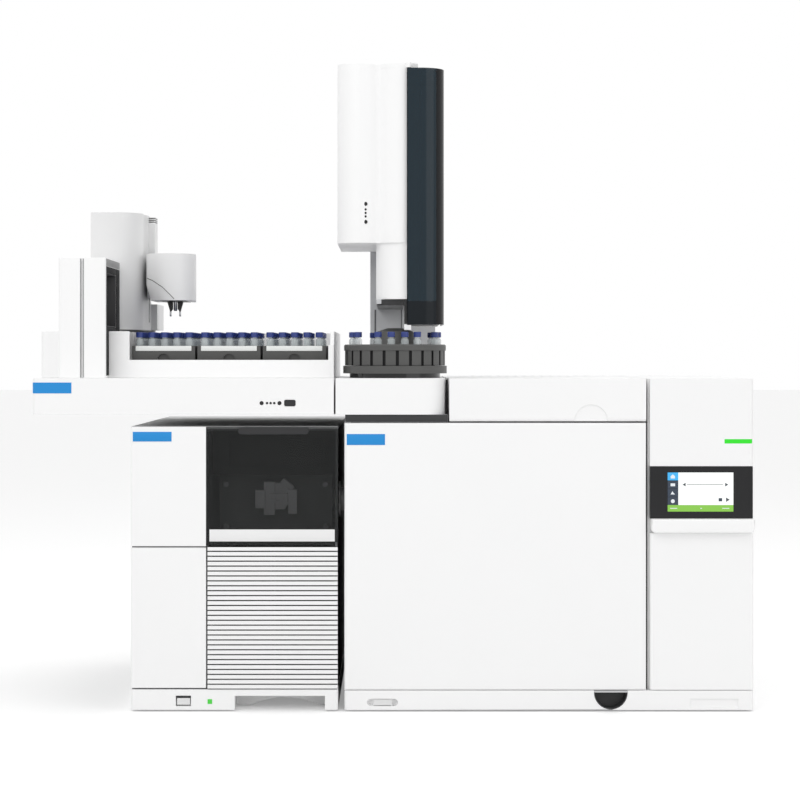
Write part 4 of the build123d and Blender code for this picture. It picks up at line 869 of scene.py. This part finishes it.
class INSTRUMENT_OT_vials(bpy.types.Operator):
    """Build the glass vials and their caps in the racks and the turret"""
    bl_idname = "instrument.vials"
    bl_label = "Vials"

    def execute(self, context):
        settings = context.scene.instrument_vials
        self.segments = settings.segments
        racks = [(x + 18.0 * column, 89.0 + 18.0 * row)
                 for x in (-333.3, -238.3, -143.3) for column in range(-2, 3) for row in range(10)]
        turret = [(2.9 + 62.0 * cos(radians(13.0 + 18.0 * i)), 89.0 + 62.0 * sin(radians(13.0 + 18.0 * i)))
                  for i in range(20) if i % 5 != 2]
        caps = skin("crimp cap blue", tuple(settings.cap_colour), gloss=(0.2, 0.35), grain=(900.0, 0.05))
        septum = skin("septum", shade(206, 196, 184), gloss=(0.5, 0.7))
        for name, places, body in (("rack", racks, "frame"), ("turret", turret, "turret")):
            bm = bmesh.new()
            for place_x, place_depth in places:
                self.vial(bm, place_x, place_depth)
            piece(f"{name}_glass", bm, body, glass("vial glass"), stands_for=(f"{name}_vials",),
                  slot="clear_glass")
            bm = bmesh.new()
            for place_x, place_depth in places:
                self.cap(bm, place_x, place_depth)
            piece(f"{name}_cap_rings", bm, body, caps, septum, stands_for=(f"{name}_caps",),
                  slot="blue_cap")
        return {"FINISHED"}

    def vial(self, bm, x, depth):
        """Vial with its shoulder and neck."""
        profile = [(0, 507.2), (4.6, 507.2), (5.6, 508.2), (5.6, 526.6), (5.0, 528.6), (3.6, 529.8),
                   (3.6, 531.0), (4.8, 531.8), (4.8, 533.2), (0, 533.2)]
        lathe(bm, profile, (x, depth, 0), "Z", self.segments)

    def cap(self, bm, x, depth):
        """Crimped cap, open over its septum."""
        profile = [(3.7, 531.2), (5.2, 531.2), (5.4, 532.0), (5.4, 538.2), (5.0, 538.8), (2.6, 538.8),
                   (2.6, 538.3)]
        lathe(bm, profile, (x, depth, 0), "Z", self.segments)
        lathe(bm, [(2.6, 538.3), (0, 538.3)], (x, depth, 0), "Z", self.segments, material=1)


class INSTRUMENT_OT_arm(bpy.types.Operator):
    """Dress the transport arm, its head and its jaws"""
    bl_idname = "instrument.arm"
    bl_label = "Transport arm"
    grip_x = -333.3
    left, right = -374.6, -299.6     # the head's wing and its right wall
    taper_low, taper_top, foot_left = 588.0, 611.3, -367.5     # the wing slants in below taper_top

    def execute(self, context):
        # The column takes a darker copy of the pale grey moulding, painted shade.
        dress("gantry_column", skin("column grey painted shade", shade(234, 234, 234), gloss=(0.3, 0.42), tone=0.98), 0.8)
        dress("gantry_slide", metal("slide plate", shade(150, 152, 156)), 0.3)
        dress("gantry_rail", metal("rail steel", shade(170, 172, 176)), 0.3)
        self.head()
        for node, side in (("jaw_left", -1), ("jaw_right", 1)):
            dress(node, black_moulding(), 0.5)
            bm = bmesh.new()
            inner, outer = self.grip_x + side * 6.05, self.grip_x + side * 8.4
            slab(bm, (min(inner, outer), max(inner, outer)), (246.8, 255.2), (564.9, 572.6), 0.3)
            piece(f"{node}_tip", bm, node, metal("finger steel", shade(206, 207, 210)))
        self.seam()
        bm = bmesh.new()
        slab(bm, (-352.6, -314.0), (208, 296), (587.3, 588.2), 0.2)
        piece("head_underside", bm, "head", black_moulding())
        return {"FINISHED"}

    def outline(self, left):
        """Plan of the head: bowed front between its left wing and its right wall."""
        middle, half = (left + self.right) / 2, (self.right - left) / 2
        bow = [(middle - half * cos(pi * i / 24), 224.0 - 37.5 * sin(pi * i / 24)) for i in range(25)]
        return bow + [(self.right - 7.4, 313.0), (-367.4, 313.0), (-367.4, 240.0), (left, 233.0)]

    def head(self):
        """Drum-fronted head whose wing slants in at its foot, with its slide and its centre pin."""
        bm = bmesh.new()
        rings = [[bm.verts.new(place(x, d, z)) for x, d in self.outline(left)]
                 for z, left in ((self.taper_low, self.foot_left), (self.taper_top, self.left),
                                 (658.8, self.left))]
        close_rings(bm, rings)
        slab(bm, (-367.3, -362.5), (300, 380), (620.1, 641.9), 0.3)
        lathe(bm, [(0, 573.2), (2.2, 573.2), (2.8, 574.4), (2.8, 590.0), (0, 590.0)],
              (self.grip_x, 251.0, 0), "Z", 20, material=1)
        piece("head_cover", bm, "head", arm_grey(), metal("finger steel", shade(206, 207, 210)),
              stands_for=("gantry_head",), slot="light_grey", rounding=1.2)

    def seam(self):
        """Curved seam between the head's two covers."""
        curve = ((-373.0, 621.5), (-362.4, 617.4), (-346.2, 606.8), (-334.6, 595.3), (-327.9, 588.4))
        bm = bmesh.new()
        rings = []
        for (xa, za), (xb, zb) in zip(curve, curve[1:]):
            for i in range(6):
                x, z = xa + (xb - xa) * i / 6, za + (zb - za) * i / 6
                slant = (self.foot_left - self.left) / (self.taper_top - self.taper_low)
                left = self.left + max(0.0, slant * (self.taper_top - z))
                middle, half = (left + self.right) / 2, (self.right - left) / 2
                across = max(-1.0, min(1.0, (x - middle) / half))
                depth = 224.0 - 37.5 * (1 - across * across) ** 0.5
                rings.append([bm.verts.new(place(x, d, h)) for d, h in
                              ((depth - 0.35, z), (depth - 0.35, z + 1.1), (depth + 0.8, z + 1.1),
                               (depth + 0.8, z))])
        close_rings(bm, rings)
        piece("head_seam", bm, "head", black_moulding())


class INSTRUMENT_OT_turret(bpy.types.Operator):
    """Dress the turret and its foot"""
    bl_idname = "instrument.turret"
    bl_label = "Turret"

    def execute(self, context):
        drum = dress("turret", rack_grey(), 0.5)
        # Faces inside the drum's grooves are painted black, painted shade between the lands.
        repaint(drum, matt_black(), lambda x, depth, z: 490.8 < z < 511.8
                and 60 < ((x - 2.9) ** 2 + (depth - 89.0) ** 2) ** 0.5 < 72.4)
        foot = dress("turret_base", rack_grey(), 0.6)
        repaint(foot, gloss_black(), lambda x, depth, z: z < 479.5)
        dress("mount_cover", white_panel(), 0.7)
        return {"FINISHED"}


class INSTRUMENT_OT_tower(bpy.types.Operator):
    """Dress the injector tower, its tinted door and its syringe"""
    bl_idname = "instrument.tower"
    bl_label = "Injector tower"

    def execute(self, context):
        # The post takes a darker grey than the pale grey moulding, painted shade under the tower.
        dress("tower_post", skin("post grey painted shade", shade(198, 199, 201), gloss=(0.35, 0.45)), 0.8)
        self.ring_and_channels()
        body = dress("tower_body", white_panel(), 1.2)
        repaint(body, black_moulding(), lambda x, depth, z: x > 21 and 40.5 < depth < 205 and z < 917.8)
        self.tinted_door()
        dress("syringe_carriage", metal("carriage aluminium", shade(178, 180, 184)), 0.5)
        dress("syringe", glass("syringe glass"))
        dress("plunger", metal("plunger steel", shade(190, 190, 194)), 0.3)
        return {"FINISHED"}

    def tinted_door(self):
        """Tinted door: clear over the syringe, with painted shade darkening its side and its bottom."""
        (left, _), (_, back), (low, high) = box_mm("tower_door")
        corner = (40.0, 67.0)
        bends = (270.0, 311.0, 360.0)
        # Material 1 paints shade on the door's side seen at a slant and along its inner corner and top
        # edge; material 2 paints the shade behind the door's foot and colours its hinge pins.
        materials = [skin("tinted acrylic", shade(24, 42, 52), gloss=(0.05, 0.1), grain=(200.0, 0.01),
                          tone=0.95, alpha=0.86, specular=0.3),
                     skin("door side painted shade", shade(30, 30, 32), gloss=(0.12, 0.2), alpha=0.97, specular=0.12),
                     skin("door foot painted shade and pins", shade(30, 34, 38), gloss=(0.1, 0.16), specular=0.12)]
        bm = bmesh.new()
        for z, finishes in (((low + 7, 583.0), (2, 1)), ((583.0, high - 6), (0, 1))):
            front = [(left, 33.3)] + arc(corner, 33.7, bends[0], bends[1], 10)
            front += arc(corner, 31.0, bends[1], bends[0], 10) + [(left, 36.0)]
            flank = arc(corner, 33.7, bends[1], bends[2], 10) + [(73.7, back), (71.0, back)]
            flank += arc(corner, 31.0, bends[2], bends[1], 10)
            plan_plate(bm, front, z, finishes[0])
            plan_plate(bm, flank, z, finishes[1])
        slab(bm, (37.4, 39.0), (36.0, 38.6), (586.0, 911.0), 0.2, material=1)
        slab(bm, (39.0, 55.0), (37.8, 39.0), (905.0, 911.0), 0.2, material=1)
        for z, length in ((low, 7.0), (high - 6.5, 6.5)):
            lathe(bm, [(0, z), (1.2, z), (1.2, z + length), (0, z + length)], (22.4, 37.35, 0), "Z", 12,
                  material=2)
        piece("tower_door_sheet", bm, "tower_door", *materials, stands_for=("tower_door",),
              slot="tinted_plastic")

    def ring_and_channels(self):
        """Dark ring under the syringe lobe and channels down the post."""
        bm = bmesh.new()
        outline = [(-23.8, 316.4), (-23.8, 67)] + [
            (-5.2 + 18.6 * cos(radians(a)), 66 + 20.5 * sin(radians(a))) for a in range(190, 300, 10)
        ] + [(15.6, 45.5), (15.6, 316.4)]
        plan_plate(bm, outline, (577.2, 585.8))
        piece("tower_ring", bm, "frame", black_moulding(), rounding=0.4)
        bm = bmesh.new()
        post_face = box_mm("tower_post")[1][1] - 59.0
        for x in ((-28.9, -26.4), (12.4, 13.8)):
            slab(bm, x, (post_face - 0.4, post_face + 0.2), (474, 576.5), 0.1)
        piece("post_channels", bm, "frame", skin("channel grey", shade(96, 97, 99)))


class INSTRUMENT_OT_stage(bpy.types.Operator):
    """Set the floor, the room light, the lamps and the camera"""
    bl_idname = "instrument.stage"
    bl_label = "Stage"

    def execute(self, context):
        settings = context.scene.instrument_stage
        self.floor()
        self.room(settings.sky)
        self.softbox("key light", (-1.6, -2.4, 2.6), (0.0, 0.0, 0.4), 2.4, 26.0)
        self.softbox("fill light", (2.2, -2.2, 1.4), (0.0, 0.0, 0.4), 2.2, 12.0)
        self.softbox("top light", (0.0, 0.3, 3.0), (0.0, 0.0, 0.5), 2.5, 16.0)
        self.camera(settings)
        context.scene.view_settings.view_transform = "Standard"
        return {"FINISHED"}

    def floor(self):
        """Pale floor that keeps the instrument's shadow."""
        material, tree, shader = blank_material("pale floor")
        seen = add(tree, "ShaderNodeLightPath").outputs["Is Camera Ray"]
        where = add(tree, "ShaderNodeTexCoord").outputs["Object"]
        rough = fit_range(tree, noise(tree, where, 30.0), 0.55, 0.7)
        tree.links.new(rough, shader.inputs["Roughness"])
        shader.inputs["Base Color"].default_value = (0.82, 0.82, 0.82, 1)
        shader.inputs["Specular IOR Level"].default_value = 0.1
        shader.inputs["Emission Color"].default_value = (1, 1, 1, 1)
        tree.links.new(fit_range(tree, seen, 0.0, 0.27), shader.inputs["Emission Strength"])
        bpy.ops.mesh.primitive_grid_add(x_subdivisions=4, y_subdivisions=4, size=60.0)
        ground = bpy.context.object
        ground.name = "floor"
        ground.location.z = -0.0002
        ground.data.materials.append(material)

    def room(self, strength):
        """Even white light of the room; the background itself stays white."""
        world = bpy.data.worlds.new("white room")
        world.use_nodes = True
        tree = world.node_tree
        back = tree.nodes["Background"]
        rays = add(tree, "ShaderNodeLightPath")
        total = None
        for ray in ("Is Camera Ray", "Is Glossy Ray", "Is Transmission Ray"):
            if total is None:
                total = rays.outputs[ray]
                continue
            join = add(tree, "ShaderNodeMath", operation="MAXIMUM")
            tree.links.new(total, join.inputs[0])
            tree.links.new(rays.outputs[ray], join.inputs[1])
            total = join.outputs[0]
        tree.links.new(fit_range(tree, total, strength, 1.0), back.inputs["Strength"])
        back.inputs["Color"].default_value = (1, 1, 1, 1)
        bpy.context.scene.world = world

    def softbox(self, name, where, target, size, power):
        """Large soft lamp aimed at the instrument."""
        lamp = bpy.data.lights.new(name, "AREA")
        lamp.size = size
        lamp.energy = power
        made = bpy.data.objects.new(name, lamp)
        made.location = where
        made.rotation_euler = (Vector(target) - Vector(where)).to_track_quat("-Z", "Y").to_euler()
        bpy.context.scene.collection.objects.link(made)

    def camera(self, settings):
        """Level camera square to the fronts, a little shifted to frame the instrument."""
        lens = bpy.data.cameras.new("bench camera")
        lens.sensor_width = 36.0
        lens.lens = settings.lens
        lens.shift_x, lens.shift_y = 0.00875, 0.05375 * -1
        lens.clip_end = 200.0
        made = bpy.data.objects.new("bench camera", lens)
        made.location = (0.0, FRONT * MM - settings.distance, settings.height)
        made.rotation_euler = (pi / 2, 0.0, 0.0)
        bpy.context.scene.collection.objects.link(made)
        bpy.context.scene.camera = made


OPERATORS = (INSTRUMENT_OT_cabinets, INSTRUMENT_OT_badges, INSTRUMENT_OT_display,
             INSTRUMENT_OT_spectrometer, INSTRUMENT_OT_oven, INSTRUMENT_OT_tray, INSTRUMENT_OT_vials,
             INSTRUMENT_OT_arm, INSTRUMENT_OT_turret, INSTRUMENT_OT_tower, INSTRUMENT_OT_stage)


class INSTRUMENT_PT_panel(bpy.types.Panel):
    """Steps that dress the instrument, in the 3D view's sidebar"""
    bl_label = "Instrument"
    bl_idname = "INSTRUMENT_PT_panel"
    bl_space_type = "VIEW_3D"
    bl_region_type = "UI"
    bl_category = "Instrument"

    def draw(self, context):
        for operator in OPERATORS:
            self.layout.operator(operator.bl_idname)
        for group in ("instrument_cabinets", "instrument_vials", "instrument_stage"):
            settings = getattr(context.scene, group)
            for name in settings.bl_rna.properties.keys():
                if name not in ("rna_type", "name"):
                    self.layout.prop(settings, name)


SETTINGS = {"instrument_cabinets": CabinetSettings, "instrument_vials": VialSettings,
            "instrument_stage": StageSettings}


def register():
    for settings in SETTINGS.values():
        bpy.utils.register_class(settings)
    for name, settings in SETTINGS.items():
        setattr(bpy.types.Scene, name, bpy.props.PointerProperty(type=settings))
    for operator in OPERATORS:
        bpy.utils.register_class(operator)
    bpy.utils.register_class(INSTRUMENT_PT_panel)


def unregister():
    bpy.utils.unregister_class(INSTRUMENT_PT_panel)
    for operator in reversed(OPERATORS):
        bpy.utils.unregister_class(operator)
    for name, settings in SETTINGS.items():
        delattr(bpy.types.Scene, name)
        bpy.utils.unregister_class(settings)


def main():
    """Dresses the frame piece by piece."""
    register()
    for operator in OPERATORS:
        group, step = operator.bl_idname.split(".")
        getattr(getattr(bpy.ops, group), step)()


if __name__ == "__main__":
    main()
